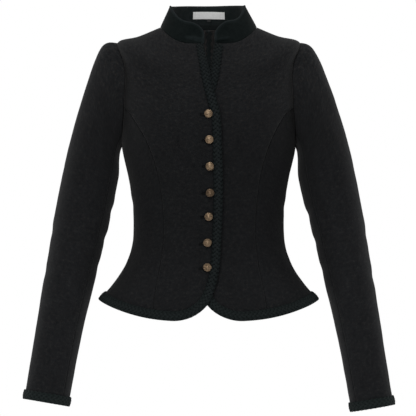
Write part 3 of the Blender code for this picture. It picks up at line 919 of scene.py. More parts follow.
class NodeShop:
    """Makes and links the nodes of one tree."""

    def __init__(self, tree: bpy.types.NodeTree) -> None:
        """Starts on an empty tree."""
        self.tree = tree
        tree.nodes.clear()

    def node(
        self, kind: str, settings: dict[str, object] | None = None, sockets: Sockets | None = None
    ) -> Wire:
        """Adds a node.

        Args:
            kind: the node's type.
            settings: its properties, set first.
            sockets: values or wires for its inputs, by name or number.

        Returns:
            Its first output in use.
        """
        made = self.tree.nodes.new(kind)
        for name, value in (settings or {}).items():
            setattr(made, name, value)
        for key, value in (sockets or {}).items():
            socket = made.inputs[key] if isinstance(key, int) else named(made.inputs, key)
            if isinstance(value, Wire):
                self.tree.links.new(value.socket, socket)
            elif socket.type == "RGBA" and len(value) == 3:
                socket.default_value = (*value, 1.0)
            else:
                socket.default_value = value
        return Wire(self, next((socket for socket in made.outputs if socket.enabled), None))

    def blend(self, factor: Wire | float, a: Wire | Colour, b: Wire | Colour, way: str = "MIX") -> Wire:
        """The colours a and b mixed, by how much of b and in what way."""
        settings = {"data_type": "RGBA", "blend_type": way}
        return self.node("ShaderNodeMix", settings, {"Factor": factor, "A": a, "B": b})

    def stretch(self, vector: Wire, scale: Triple) -> Wire:
        """The vector times a size on each axis."""
        return self.node("ShaderNodeVectorMath", {"operation": "MULTIPLY"}, {0: vector, 1: scale})

    def noise(self, vector: Wire, scale: float, detail: float = 3.0, rough: float = 0.55) -> Wire:
        """Soft noise between 0 and 1: features in a metre, finer layers and how strong these are."""
        sockets = {"Vector": vector, "Scale": scale, "Detail": detail, "Roughness": rough}
        return self.node("ShaderNodeTexNoise", None, sockets)

    def bump(self, height: Wire, distance: float) -> Wire:
        """A normal tilted by a height, whose unit is this many metres."""
        return self.node("ShaderNodeBump", None, {"Height": height, "Distance": distance, "Strength": 1.0})

    def scaled(self, vector: Wire, amount: Wire | float) -> Wire:
        """The vector or colour times an amount."""
        return self.node("ShaderNodeVectorMath", {"operation": "SCALE"}, {0: vector, "Scale": amount})

    def joined(self, x: Wire | float, y: Wire | float, z: Wire | float) -> Wire:
        """The vector of three numbers."""
        return self.node("ShaderNodeCombineXYZ", None, {0: x, 1: y, 2: z})

    def mark(self, name: str, output: str = "Fac") -> Wire:
        """A named attribute of the surface."""
        return self.node("ShaderNodeAttribute", {"attribute_name": name}).other(output)

    def parts(self, vector: Wire) -> tuple[Wire, Wire, Wire]:
        """The x, y and z of a vector."""
        split = self.node("ShaderNodeSeparateXYZ", None, {0: vector})
        return split, split.other("Y"), split.other("Z")


class GeometryTool:
    """A Geometry Nodes tree with an input for each of its values, run once on a guide."""

    KINDS = {int: "NodeSocketInt", float: "NodeSocketFloat", bpy.types.Material: "NodeSocketMaterial"}

    def __init__(self, name: str, values: dict[str, object]) -> None:
        """Opens a tree.

        Args:
            name: the tree's name.
            values: what each named input is given, its "Material" among them.
        """
        self.values = values
        self.tree = bpy.data.node_groups.new(name, "GeometryNodeTree")
        face = self.tree.interface
        face.new_socket(name="Geometry", in_out="INPUT", socket_type="NodeSocketGeometry")
        self.sockets = {
            label: face.new_socket(name=label, in_out="INPUT", socket_type=self.KINDS[type(value)])
            for label, value in values.items()
        }
        face.new_socket(name="Geometry", in_out="OUTPUT", socket_type="NodeSocketGeometry")
        self.shop = NodeShop(self.tree)
        self.entry = self.shop.node("NodeGroupInput")

    def given(self, label: str) -> Wire:
        """The wire of a named input."""
        return self.entry.other(label)

    def read(self, name: str, kind: str = "FLOAT_VECTOR") -> Wire:
        """A named attribute of the geometry."""
        return self.shop.node("GeometryNodeInputNamedAttribute", {"data_type": kind}, {"Name": name})

    def keep(self, geometry: Wire, name: str, value: Wire, kind: str = "FLOAT") -> Wire:
        """The geometry, with a value kept on its points under a name.

        Args:
            geometry: the geometry.
            name: the attribute.
            value: its value.
            kind: its data type.

        Returns:
            The geometry with it.
        """
        settings = {"data_type": kind, "domain": "POINT"}
        sockets = {"Geometry": geometry, "Name": name, "Value": value}
        return self.shop.node("GeometryNodeStoreNamedAttribute", settings, sockets)

    def close(self, geometry: Wire) -> GeometryTool:
        """Ends the tree with real geometry in its material.

        Args:
            geometry: what the tree made.

        Returns:
            The tool.
        """
        real = self.shop.node("GeometryNodeRealizeInstances", None, {"Geometry": geometry})
        sockets = {"Geometry": real, "Material": self.given("Material")}
        dressed = self.shop.node("GeometryNodeSetMaterial", None, sockets)
        self.shop.node("NodeGroupOutput", None, {"Geometry": dressed})
        return self

    def run(self, name: str, guide: bpy.types.Object) -> bpy.types.Object:
        """Runs the tree on a guide, which it uses up.

        Args:
            name: the new object's name.
            guide: the object whose mesh the tree reads.

        Returns:
            A plain mesh object.
        """
        modifier = guide.modifiers.new(self.tree.name, "NODES")
        modifier.node_group = self.tree
        for label, value in self.values.items():
            modifier[self.sockets[label].identifier] = value
        graph = bpy.context.evaluated_depsgraph_get()
        mesh = bpy.data.meshes.new_from_object(guide.evaluated_get(graph))
        guide.modifiers.remove(modifier)
        bpy.data.objects.remove(guide)
        mesh.name = name
        mesh.shade_smooth()
        return linked(name, mesh)


# ------------------------------------------------------------------ finishes


@dataclass(frozen=True)
class Finish:
    """A material's name and plain numbers; each kind adds what changes over the surface."""

    name: str
    roughness: float = 0.9
    sheen: float = 0.0
    sheen_roughness: float = 0.5
    sheen_tint: Colour = (1.0, 1.0, 1.0)
    specular: float = 0.5

    def material(self) -> bpy.types.Material:
        """The finish as a material, made once."""
        made = bpy.data.materials.get(self.name)
        if made is not None:
            return made
        made = bpy.data.materials.new(self.name)
        made.use_nodes = True
        shop = NodeShop(made.node_tree)
        sockets = {
            "Roughness": self.roughness,
            "Sheen Weight": self.sheen,
            "Sheen Roughness": self.sheen_roughness,
            "Sheen Tint": self.sheen_tint,
            "Specular IOR Level": self.specular,
        }
        sockets.update(self.surface(shop))
        shader = shop.node("ShaderNodeBsdfPrincipled", None, sockets)
        shop.node("ShaderNodeOutputMaterial", None, {"Surface": shader})
        return made

    def surface(self, shop: NodeShop) -> Sockets:
        """The shader's sockets that this kind of finish feeds.

        Args:
            shop: the shop of the material's tree.

        Returns:
            Values and wires by the name of their socket.
        """
        raise NotImplementedError

    @staticmethod
    def place(shop: NodeShop) -> Wire:
        """Object coordinates."""
        return shop.node("ShaderNodeTexCoord").other("Object")

    @staticmethod
    def lay(shop: NodeShop) -> Wire:
        """The piece's own UV map, in metres."""
        return shop.node("ShaderNodeUVMap", {"uv_map": "lay"})


@dataclass(frozen=True)
class Loden(Finish):
    """Milled wool: a mottled ground under a short matted nap that lies down the cloth.

    depth holds heights and the painted light and shade there, as a scale on the colour; seam_shade is
    how much painted shade darkens the cloth along its seams and, more broadly, by the armholes.
    """

    roughness: float = 0.95
    sheen_roughness: float = 0.45
    specular: float = 0.06
    ground: Colour = (0.0063, 0.0067, 0.0073)
    pale: Colour = (0.0160, 0.0160, 0.0158)
    deep: Colour = (0.0025, 0.0030, 0.0036)
    brown: Colour = (0.0165, 0.0137, 0.0117)
    # Painted light and shade: the colour's scale at each height
    depth: tuple[Pair, ...] = ((-0.46, 1.10), (-0.36, 0.97), (-0.22, 0.93), (-0.13, 1.07))
    seam_shade: float = 0.45

    def surface(self, shop: NodeShop) -> Sockets:
        """See Finish."""
        lay = self.lay(shop)
        cloud = shop.noise(shop.stretch(lay, (0.8, 1.0, 1.0)), 195.0, 3.0, 0.66)
        fleck = shop.noise(shop.stretch(lay, (1.0, 0.55, 1.0)), 620.0, 2.0, 0.6)
        drift = shop.noise(lay, 46.0, 2.0, 0.5)
        hairs = shop.noise(shop.stretch(lay, (1.0, 0.22, 1.0)), 2600.0, 2.0, 0.6)
        warm = shop.noise(shop.stretch(lay, (1.0, 0.8, 1.0)), 330.0, 2.0, 0.5)
        tone = cloud * 0.50 + fleck * 0.33 + hairs * 0.17
        colour = shop.blend(tone.between(0.30, 0.52), self.deep, self.ground)
        colour = shop.blend(tone.between(0.50, 0.72), colour, self.pale)
        level = shop.parts(self.place(shop))[2]
        share = level.between(-0.26, -0.08) * 0.34 + 0.30
        colour = shop.blend(warm.between(0.54, 0.74) * share, colour, self.brown)
        colour = shop.blend(0.22, colour, shop.joined(drift, drift, drift), "OVERLAY")
        height = cloud * 0.36 + fleck * 0.6 + hairs * 0.35
        # Painted light and shade by height: the colour scaled up where more light falls, down where less
        amount: Wire | float = self.depth[0][1]
        for (low, first), (high, last) in zip(self.depth, self.depth[1:]):
            amount = level.between(low, high) * (last - first) + amount
        # Painted shade along the seams and, broader, by the armholes, from the mesh's seam attribute
        amount = amount * (1 - shop.mark("seam") * self.seam_shade)
        amount = amount * ((tone - 0.5) * 1.5 * level.between(-0.22, -0.05) + 1)
        return {"Base Color": shop.scaled(colour, amount), "Normal": shop.bump(height, 0.00042)}


@dataclass(frozen=True)
class Felt(Finish):
    """Fine dense felt, smoother than the body cloth, with painted highlights at its rim and on its folds.

    rim holds how strong the rim's painted highlight is, and where that starts and ends; a fold is its
    x, z and slope, its half width and half height, and how strong its painted highlight is, or how
    strong its painted shade where that is below 0.
    """

    roughness: float = 0.92
    sheen_roughness: float = 0.4
    specular: float = 0.06
    ground: Colour = (0.0013, 0.0028, 0.0028)
    pale: Colour = (0.0036, 0.0057, 0.0056)
    # The colour of the painted highlights on the rim and the folds
    rubbed: Colour = (0.0092, 0.0126, 0.0132)
    rim: Triple = (0.0, 0.0012, 0.0032)
    # The colour of the painted shade under a fold
    hollow: Colour = (0.0007, 0.0016, 0.0016)
    folds: tuple[tuple[float, ...], ...] = ()

    def surface(self, shop: NodeShop) -> Sockets:
        """See Finish."""
        place = self.place(shop)
        cloud = shop.noise(place, 150.0, 3.0, 0.62)
        hairs = shop.noise(place, 1300.0, 2.0, 0.6)
        tone = cloud * 0.60 + hairs * 0.40
        colour = shop.blend(tone.between(0.34, 0.66), self.ground, self.pale)
        # Painted highlight along the rolled rim, where it faces up into the light
        strength, start, end = self.rim
        if strength:
            from_edge = shop.parts(self.lay(shop))[1]
            worn = (1 - from_edge.between(start, end)) * strength * (0.55 + cloud * 0.9)
            colour = shop.blend(worn, colour, self.rubbed)
        across, _, up = shop.parts(place)
        # Painted highlights on the folds, or painted shade where a fold's amount is below 0
        for x, z, slope, wide, tall, amount in self.folds:
            line = up - z - (across - x) * slope
            spread = ((across - x) / wide) ** 2.0 + (line / tall) ** 2.0
            share = (1 - spread.between(0.0, 1.0)) * (abs(amount) * 0.5) * (cloud + 0.5)
            colour = shop.blend(share, colour, self.rubbed if amount > 0 else self.hollow)
        return {"Base Color": colour, "Normal": shop.bump(tone, 0.00022)}


@dataclass(frozen=True)
class BraidYarn(Finish):
    """Twisted wool yarns side by side in each strand of the plait, with painted shade low and light high."""

    # From low to high on a strand: painted shade in the hollows, the flanks, painted light on the crowns
    crown: Colour = (0.0084, 0.0108, 0.0111)
    flank: Colour = (0.0030, 0.0045, 0.0047)
    hollow: Colour = (0.0010, 0.0018, 0.0019)
    # Painted light from below on the plaits along the hem, at its corners and round the cuffs: lighter,
    # flatter colours
    painted_bounce: tuple[Colour, Colour, Colour] = (
        (0.0050, 0.0078, 0.0076),
        (0.0078, 0.0112, 0.0110),
        (0.0116, 0.0154, 0.0151),
    )
    # calm evens out the painted shade near the neck: between two heights, by a share, toward a middle tone
    calm: Quad = (-0.150, -0.060, 0.60, 0.66)
    fading: Triple = (-0.460, -0.432, 0.45)
    corners: Triple = (0.140, 0.176, 0.200)
    cuffs: Triple = (-0.600, -0.540, 0.45)
    ply_pitch: float = 0.0030
    yarns: float = 3.0

    def surface(self, shop: NodeShop) -> Sockets:
        """See Finish."""
        run, around, height = shop.parts(shop.mark("yarn", "Vector"))
        ply = (run * (math.tau / self.ply_pitch) + around * (math.tau * self.yarns)).sine()
        fuzz = shop.noise(self.place(shop), 1500.0, 3.0, 0.65)
        patch = shop.noise(self.place(shop), 170.0, 2.0, 0.5)
        # Painted shade and light: the strand's stored height darkens its low parts and lightens its crowns
        tone = height + ply * 0.06 + (fuzz - 0.5) * 0.45 + (patch - 0.5) * 0.35
        low, high, share, middle = self.calm
        across, _, level = shop.parts(self.place(shop))
        # Painted bounce light: the hem's plait, its corners and the cuffs take the lighter colours
        hem, hem_end, hem_share = self.fading
        cuff, cuff_end, most = self.cuffs
        painted_bounce = 1 - level.between(hem, hem_end)
        tone = tone - (tone - middle) * (level.between(low, high) * share + painted_bounce * hem_share)
        start, full, past = (x * x for x in self.corners)
        corner = (across * across).between(start, full) * (1 - (across * across).between(full, past))
        painted_bounce = painted_bounce * (most + (1 - level.between(cuff, cuff_end)) * (0.90 - most) + corner * (1 - most))
        pairs = zip((self.hollow, self.flank, self.crown), self.painted_bounce)
        hollow, flank, crown = (shop.blend(painted_bounce, unbounced, bounce_lit) for unbounced, bounce_lit in pairs)
        colour = shop.blend(tone.between(0.30, 0.62), hollow, flank)
        colour = shop.blend(tone.between(0.58, 0.92), colour, crown)
        return {"Base Color": colour, "Normal": shop.bump(ply * 0.3 + fuzz, 0.00022)}


@dataclass(frozen=True)
class LiningWeave(Finish):
    """Satin lining with small woven lozenges and, down the middle back, one zigzag stripe."""

    ground: Colour = (0.0090, 0.0091, 0.0091)
    figure: Colour = (0.0310, 0.0270, 0.0262)
    stripe: Colour = (0.0010, 0.0057, 0.0066)
    lozenge: Pair = (0.0052, 0.0068)
    stripe_at: Pair = (0.0004, 0.0042)
    zigzag: Pair = (0.0019, 0.0110)
    striped: bool = False

    def surface(self, shop: NodeShop) -> Sockets:
        """See Finish."""
        lay = self.lay(shop)
        across, up, _ = shop.parts(lay)
        wide, tall = self.lozenge
        diamond = across.wave(wide) + up.wave(tall)
        figure = 1 - (diamond - 1).size().between(0.10, 0.34)
        threads = (up * (math.tau / 0.00042)).sine() * 0.5 + 0.5
        slub = shop.noise(shop.stretch(lay, (0.15, 1.0, 1.0)), 1500.0, 2.0, 0.5)
        colour = shop.blend(figure * 0.8 + slub * 0.2, self.ground, self.figure)
        height = figure * 0.5 + threads * 0.25 + slub * 0.25
        if self.striped:
            x, _, z = shop.parts(self.place(shop))
            middle, half = self.stripe_at
            swing = (z.wave(self.zigzag[1]) - 0.5) * (2 * self.zigzag[0]) + middle
            inside = (half - (x - swing).size()).between(-0.0003, 0.0003)
            ribs = slub * 0.12
            stripe = shop.blend(ribs, self.stripe, self.figure)
            colour = shop.blend(inside, colour, stripe)
            height = height + inside * 1.2
        return {"Base Color": colour, "Normal": shop.bump(height, 0.00018)}


@dataclass(frozen=True)
class RibbonWeave(Finish):
    """A plain woven ribbon, left bare."""

    ground: Colour = (0.73, 0.73, 0.725)
    shade: Colour = (0.53, 0.53, 0.53)
    thread: float = 0.00034

    def surface(self, shop: NodeShop) -> Sockets:
        """See Finish."""
        lay = self.lay(shop)
        across, up, _ = shop.parts(lay)
        weave = across.wave(self.thread) * 0.5 + up.wave(self.thread * 1.3) * 0.5
        slub = shop.noise(shop.stretch(lay, (0.1, 1.0, 1.0)), 2000.0, 2.0, 0.5)
        tone = weave * 0.35 + slub * 0.65
        colour = shop.blend(tone.between(0.30, 0.62), self.shade, self.ground)
        return {"Base Color": colour, "Normal": shop.bump(tone, 0.00010)}


@dataclass(frozen=True)
class OldBrass(Finish):
    """Antique brass: worn bright on the raised rings, dull and dark in the hollows."""

    bright: Colour = (0.33, 0.235, 0.150)
    dull: Colour = (0.085, 0.056, 0.034)
    grime: Colour = (0.012, 0.008, 0.006)

    def surface(self, shop: NodeShop) -> Sockets:
        """See Finish."""
        place = self.place(shop)
        cloud = shop.noise(place, 420.0, 3.0, 0.6)
        pits = shop.noise(place, 2600.0, 2.0, 0.65)
        level = shop.mark("patina") * 0.75 + cloud * 0.45 - 0.10
        colour = shop.blend(level.between(0.10, 0.42), self.grime, self.dull)
        colour = shop.blend(level.between(0.38, 0.86), colour, self.bright)
        rough = 0.62 - level.between(0.2, 0.9) * 0.24 + pits * 0.06
        return {
            "Base Color": colour,
            "Roughness": rough,
            "Metallic": 0.92,
            "Normal": shop.bump(pits * 0.6 + cloud * 0.4, 0.00009),
        }


@dataclass(frozen=True)
class SilkTwist(Finish):
    """Lustrous sewing twist."""

    ground: Colour = (0.0018, 0.0019, 0.0021)
    pale: Colour = (0.0046, 0.0047, 0.0050)

    def surface(self, shop: NodeShop) -> Sockets:
        """See Finish."""
        tone = shop.noise(self.place(shop), 1800.0, 2.0, 0.5)
        colour = shop.blend(tone.between(0.35, 0.65), self.ground, self.pale)
        return {"Base Color": colour, "Normal": shop.bump(tone, 0.00008)}


@dataclass(frozen=True)
class StudioFloor(Finish):
    """Pale matt floor."""

    def surface(self, shop: NodeShop) -> Sockets:
        """See Finish."""
        tone = shop.noise(self.place(shop), 9.0, 2.0, 0.5)
        return {"Base Color": shop.blend(tone, (0.80, 0.80, 0.80), (0.84, 0.84, 0.84))}


# Lit and shaded copies of one loden: their depth knots paint the sleeves lighter and the side panels darker
# under the arms, the left one most
LODEN = Loden("black_loden", sheen=0.050)
UNDER_LODEN = Loden("under_sleeve_loden", sheen=0.070, depth=((-0.46, 1.28), (-0.10, 0.97)))
SLEEVE_LODEN = Loden("sleeve_loden", sheen=0.042, depth=((-0.46, 1.33), (-0.14, 1.02), (-0.04, 1.30)))
SIDE_LODENS = {
    side: Loden(
        f"{side.word}_side_loden",
        sheen=sheen,
        depth=((-0.46, hem), (-0.36, 0.98), (-0.22, waist), (-0.13, top)),
        seam_shade=0.8,
    )
    for side, sheen, hem, waist, top in (
        (Side.RIGHT, 0.040, 1.16, 0.90, 0.86),
        (Side.LEFT, 0.020, 1.22, 0.84, 0.74),
    )
}
GREEN_FELT = Felt(
    "bottle_green_felt",
    sheen=0.040,
    ground=(0.0012, 0.0027, 0.0027),
    pale=(0.0033, 0.0053, 0.0052),
    # A painted highlight along the rolled rim
    rim=(0.75, 0.0008, 0.0064),
    # Painted highlights on folds near both front ends, and painted shade under the fold at the left end
    folds=(
        (-0.0240, -0.0238, -0.18, 0.0230, 0.0052, 1.15),
        (-0.0140, -0.0260, -0.10, 0.0110, 0.0060, 0.7),
        (0.0255, -0.0230, 0.20, 0.0150, 0.0034, 0.9),
        (0.0230, -0.0295, 0.10, 0.0240, 0.0048, -1.3),
    ),
)
GREEN_FACING = Felt(
    "green_facing",
    sheen=0.10,
    specular=0.10,
    ground=(0.0058, 0.0088, 0.0091),
    pale=(0.0126, 0.0158, 0.0163),
    rubbed=(0.0200, 0.0240, 0.0250),
    # A painted highlight along the facing's rim
    rim=(0.60, 0.0012, 0.0056),
)
NECK_TAPE = Felt(
    "neck_tape",
    0.85,
    sheen=0.04,
    specular=0.12,
    ground=(0.0028, 0.0045, 0.0047),
    pale=(0.0060, 0.0080, 0.0083),
)
BRAID = BraidYarn("plaited_wool", roughness=0.85, sheen=0.020, sheen_roughness=0.4, specular=0.06)
LINING = LiningWeave("lozenge_lining", roughness=0.55, specular=0.35)
BACK_LINING = LiningWeave("striped_lining", roughness=0.55, specular=0.35, striped=True)
LABEL_RIBBON = RibbonWeave("bare_white_ribbon", roughness=0.55, specular=0.4)
TAB_RIBBON = RibbonWeave("bare_dark_ribbon", 0.7, ground=(0.012, 0.013, 0.013), shade=(0.006, 0.007, 0.007))
BRASS = OldBrass("antique_brass")
TWIST = SilkTwist("dark_twist", 0.8, specular=0.06)
WHITE_TWIST = SilkTwist("white_twist", 0.6, ground=(0.62, 0.62, 0.60), pale=(0.80, 0.80, 0.78))
FLOOR = StudioFloor("pale_floor", roughness=0.9)


# ------------------------------------------------------------------ meshes


def linked(name: str, data: bpy.types.ID) -> bpy.types.Object:
    """A new object in the scene.

    Args:
        name: its name.
        data: the mesh, lamp or camera.

    Returns:
        The object.
    """
    made = bpy.data.objects.new(name, data)
    bpy.context.scene.collection.objects.link(made)
    return made


@dataclass
class SheetMesh:
    """The closed mesh between an outer and an inner grid of points."""

    outer: Array
    inner: Array
    lay: Array
    keep: Array | None = None
    lined: Array | None = None
    rim: float = 0.00012

    def cells(self) -> tuple[Array, Array]:
        """The grid's kept cells, as corner numbers, and which finish lines each."""
        rows, columns = self.outer.shape[:2]
        index = np.arange(rows * columns).reshape(rows, columns)
        cells = np.stack([index[:-1, :-1], index[:-1, 1:], index[1:, 1:], index[1:, :-1]], axis=-1)
        keep = np.ones((rows - 1, columns - 1), bool) if self.keep is None else self.keep
        lined = np.zeros(keep.shape, int) if self.lined is None else self.lined.astype(int)
        return cells[keep], lined[keep]

    def build(self, name: str, finishes: Sequence[Finish]) -> bpy.types.Object:
        """Makes the object.

        Args:
            name: its name.
            finishes: the outer finish, then the one that lines it.

        Returns:
            The object, closed and facing outward.
        """
        outer, inner = self.outer.reshape(-1, 3), self.inner.reshape(-1, 3)
        count = len(outer)
        cells, lined = self.cells()
        starts, ends = cells, np.roll(cells, -1, axis=1)
        is_rim = ~np.isin(starts * count + ends, ends * count + starts)
        u, v = starts[is_rim], ends[is_rim]
        cell = np.repeat(np.arange(len(cells)), 4).reshape(-1, 4)[is_rim]
        apart = np.maximum(*(np.linalg.norm(outer[k] - inner[k], axis=1) for k in (u, v))) > 2e-5
        u, v, cell = u[apart], v[apart], cell[apart]
        way = (outer[u] + outer[v]) / 2 - outer[cells].mean(axis=1)[cell]
        along = unit(outer[v] - outer[u])
        way = unit(way - along * (way * along).sum(axis=1, keepdims=True))
        brim, place = np.unique(np.concatenate([u, v]), return_inverse=True)
        out = np.zeros((len(brim), 3))
        np.add.at(out, place, np.concatenate([way, way]))
        middle = (outer[brim] + inner[brim]) / 2 + unit(out) * self.rim
        mid_u, mid_v = 2 * count + place[: len(u)], 2 * count + place[len(u) :]
        faces = np.concatenate(
            [
                cells,
                cells[:, ::-1] + count,
                np.stack([v, u, mid_u, mid_v], axis=1),
                np.stack([mid_v, mid_u, u + count, v + count], axis=1),
            ]
        )
        points = np.concatenate([outer, inner, middle])
        finish = np.concatenate([np.zeros(len(cells), int), lined, np.zeros(2 * len(u), int)])
        a, b, c, d = (points[faces[:, k]] for k in range(4))
        volume = (np.cross(a, b) * c).sum() + (np.cross(a, c) * d).sum()
        if volume < 0:
            faces = faces[:, ::-1]
        used, compact = np.unique(faces, return_inverse=True)
        lay = self.lay.reshape(-1, self.lay.shape[-1])
        lay = np.concatenate([lay, lay, lay[brim]])[used]
        return self._object(name, points[used], compact.reshape(faces.shape), lay, finish, finishes)

    @staticmethod
    def _object(
        name: str, points: Array, faces: Array, lay: Array, finish: Array, finishes: Sequence[Finish]
    ) -> bpy.types.Object:
        """The object of these points and faces, its doubles merged.

        Args:
            name: its name.
            points: its points.
            faces: four points' numbers each.
            lay: flat places on each point, then the painted shade it takes from nearby seams.
            finish: each face's place among the finishes.
            finishes: the finishes.

        Returns:
            The object.
        """
        mesh = bpy.data.meshes.new(name)
        mesh.from_pydata(points.tolist(), [], faces.tolist())
        mesh.uv_layers.new(name="lay").data.foreach_set("uv", lay[faces.ravel(), :2].ravel())
        # The seam attribute holds the painted shade that Loden darkens its colour by
        if lay.shape[1] > 2:
            mesh.attributes.new("seam", "FLOAT", "POINT").data.foreach_set("value", lay[:, 2].copy())
        for kind in finishes:
            mesh.materials.append(kind.material())
        mesh.polygons.foreach_set("material_index", finish.astype(np.int32))
        shape = bmesh.new()
        shape.from_mesh(mesh)
        bmesh.ops.remove_doubles(shape, verts=shape.verts, dist=3e-6)
        shape.to_mesh(mesh)
        shape.free()
        mesh.shade_smooth()
        return linked(name, mesh)


@dataclass
class ClothPiece:
    """A panel of cloth on a grid, with its seams rolled in and its creases."""

    points: Array
    normals: Array
    thickness: float
    sewn: Edge = Edge(0)
    sway: Array | float = 0.0
    relief: Array | float = 0.0
    keep: Array | None = None
    lined: Array | None = None
    flat: Edge = Edge(0)
    seam_gap: float = 0.00012
    seam_depth: float = 0.00060
    seam_width: float = 0.0008
    deepest: float = 1.05
    ridge: float = 0.00008
    ridge_at: Pair = (0.0042, 0.0022)
    ridge_swell: Triple = (0.45, 0.038, 3.3)
    # Painted shade at the seams: how far it reaches and its share; by the armholes, above hole_z, it reaches
    # further and is stronger
    seam_reach: float = 0.0012
    seam_share: float = 0.5
    hole_reach: float = 0.0120
    hole_z: float = -0.150
    hole_share: float = 1.8

    def distance(self, edge: Edge) -> Array:
        """Each place's distance from an edge, along the grid.

        Args:
            edge: the edge.

        Returns:
            The distances.
        """
        axis = 1 if edge in (Edge.FIRST, Edge.LAST) else 0
        steps = np.linalg.norm(np.diff(self.points, axis=axis), axis=-1)
        run = np.cumsum(steps, axis=axis)
        zero = np.zeros_like(np.take(run, [0], axis=axis))
        run = np.concatenate([zero, run], axis=axis)
        if edge in (Edge.FIRST, Edge.LOW):
            return run
        return np.take(run, [-1], axis=axis) - run

    def draw_in(self) -> None:
        """Moves each sewn edge half a seam's gap inward."""
        for edge in self.sewn:
            axis = 1 if edge in (Edge.FIRST, Edge.LAST) else 0
            at, by = (0, 1) if edge in (Edge.FIRST, Edge.LOW) else (-1, -2)
            grid = np.moveaxis(self.points, axis, 0)
            grid[at] = grid[at] + unit(grid[by] - grid[at]) * (self.seam_gap / 2)

    def roll(self) -> Array:
        """How far the outer face sinks into its seams, and rises beside them."""
        total = np.zeros(self.points.shape[:2])
        amount, size, seed = self.ridge_swell
        uneven = 1 + amount * ripple(self.points, size, seed)
        for edge in self.sewn & ~self.flat:
            run = self.distance(edge)
            total = total - self.seam_depth * bell(run, self.seam_width)
            total = total + self.ridge * uneven * bell(run - self.ridge_at[0], self.ridge_at[1])
        return np.maximum(total, -self.deepest * self.seam_depth)

    def lay(self) -> Array:
        """The piece's flat coordinates in metres, then the painted shade each place takes from its seams."""
        across, up = self.distance(Edge.FIRST), self.distance(Edge.LOW)
        near = np.zeros_like(across)
        for edge in self.sewn & ~self.flat & ~Edge.LOW:
            run = self.distance(edge)
            thin, broad = bell(run, self.seam_reach) * self.seam_share, bell(run, self.hole_reach)
            if edge == Edge.LAST:
                broad = np.where(self.points[..., 2] > self.hole_z, broad * self.hole_share, thin)
            near = np.maximum(near, thin if edge == Edge.FIRST else broad)
        up = np.broadcast_to(up.mean(axis=1, keepdims=True), up.shape)
        return np.stack([across, up, near], axis=-1)

    def build(self, name: str, finishes: Sequence[Finish]) -> bpy.types.Object:
        """Makes the panel.

        Args:
            name, finishes: as in SheetMesh.build.

        Returns:
            The object.
        """
        self.points = self.points.copy()
        self.draw_in()
        sway = np.broadcast_to(self.sway, self.points.shape[:2])[..., None]
        base = self.points + self.normals * sway
        outer = base + self.normals * (self.roll() + self.relief)[..., None]
        inner = base - self.normals * self.thickness
        return SheetMesh(outer, inner, self.lay(), self.keep, self.lined).build(name, finishes)


@dataclass(frozen=True)
class Cut:
    """The flat size a piece of cloth was cut to: width, length and area."""

    width: float
    length: float
    area: float

    def declare(self, piece: bpy.types.Object, held: str = "hung") -> None:
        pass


def fit(piece: bpy.types.Object, slot: Slot, *nodes: str) -> bpy.types.Object:
    """Puts a piece on the jacket in place of CAD nodes.

    Args:
        piece: the finished object.
        slot: the material slot; not used.
        *nodes: the CAD nodes that it stands for.

    Returns:
        The piece.
    """
    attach(piece, "root")
    if nodes:
        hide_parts(*nodes)
    LOG.info("%s: %d faces", piece.name, len(piece.data.polygons))
    return piece


# ------------------------------------------------------------------ buttons and buttonholes


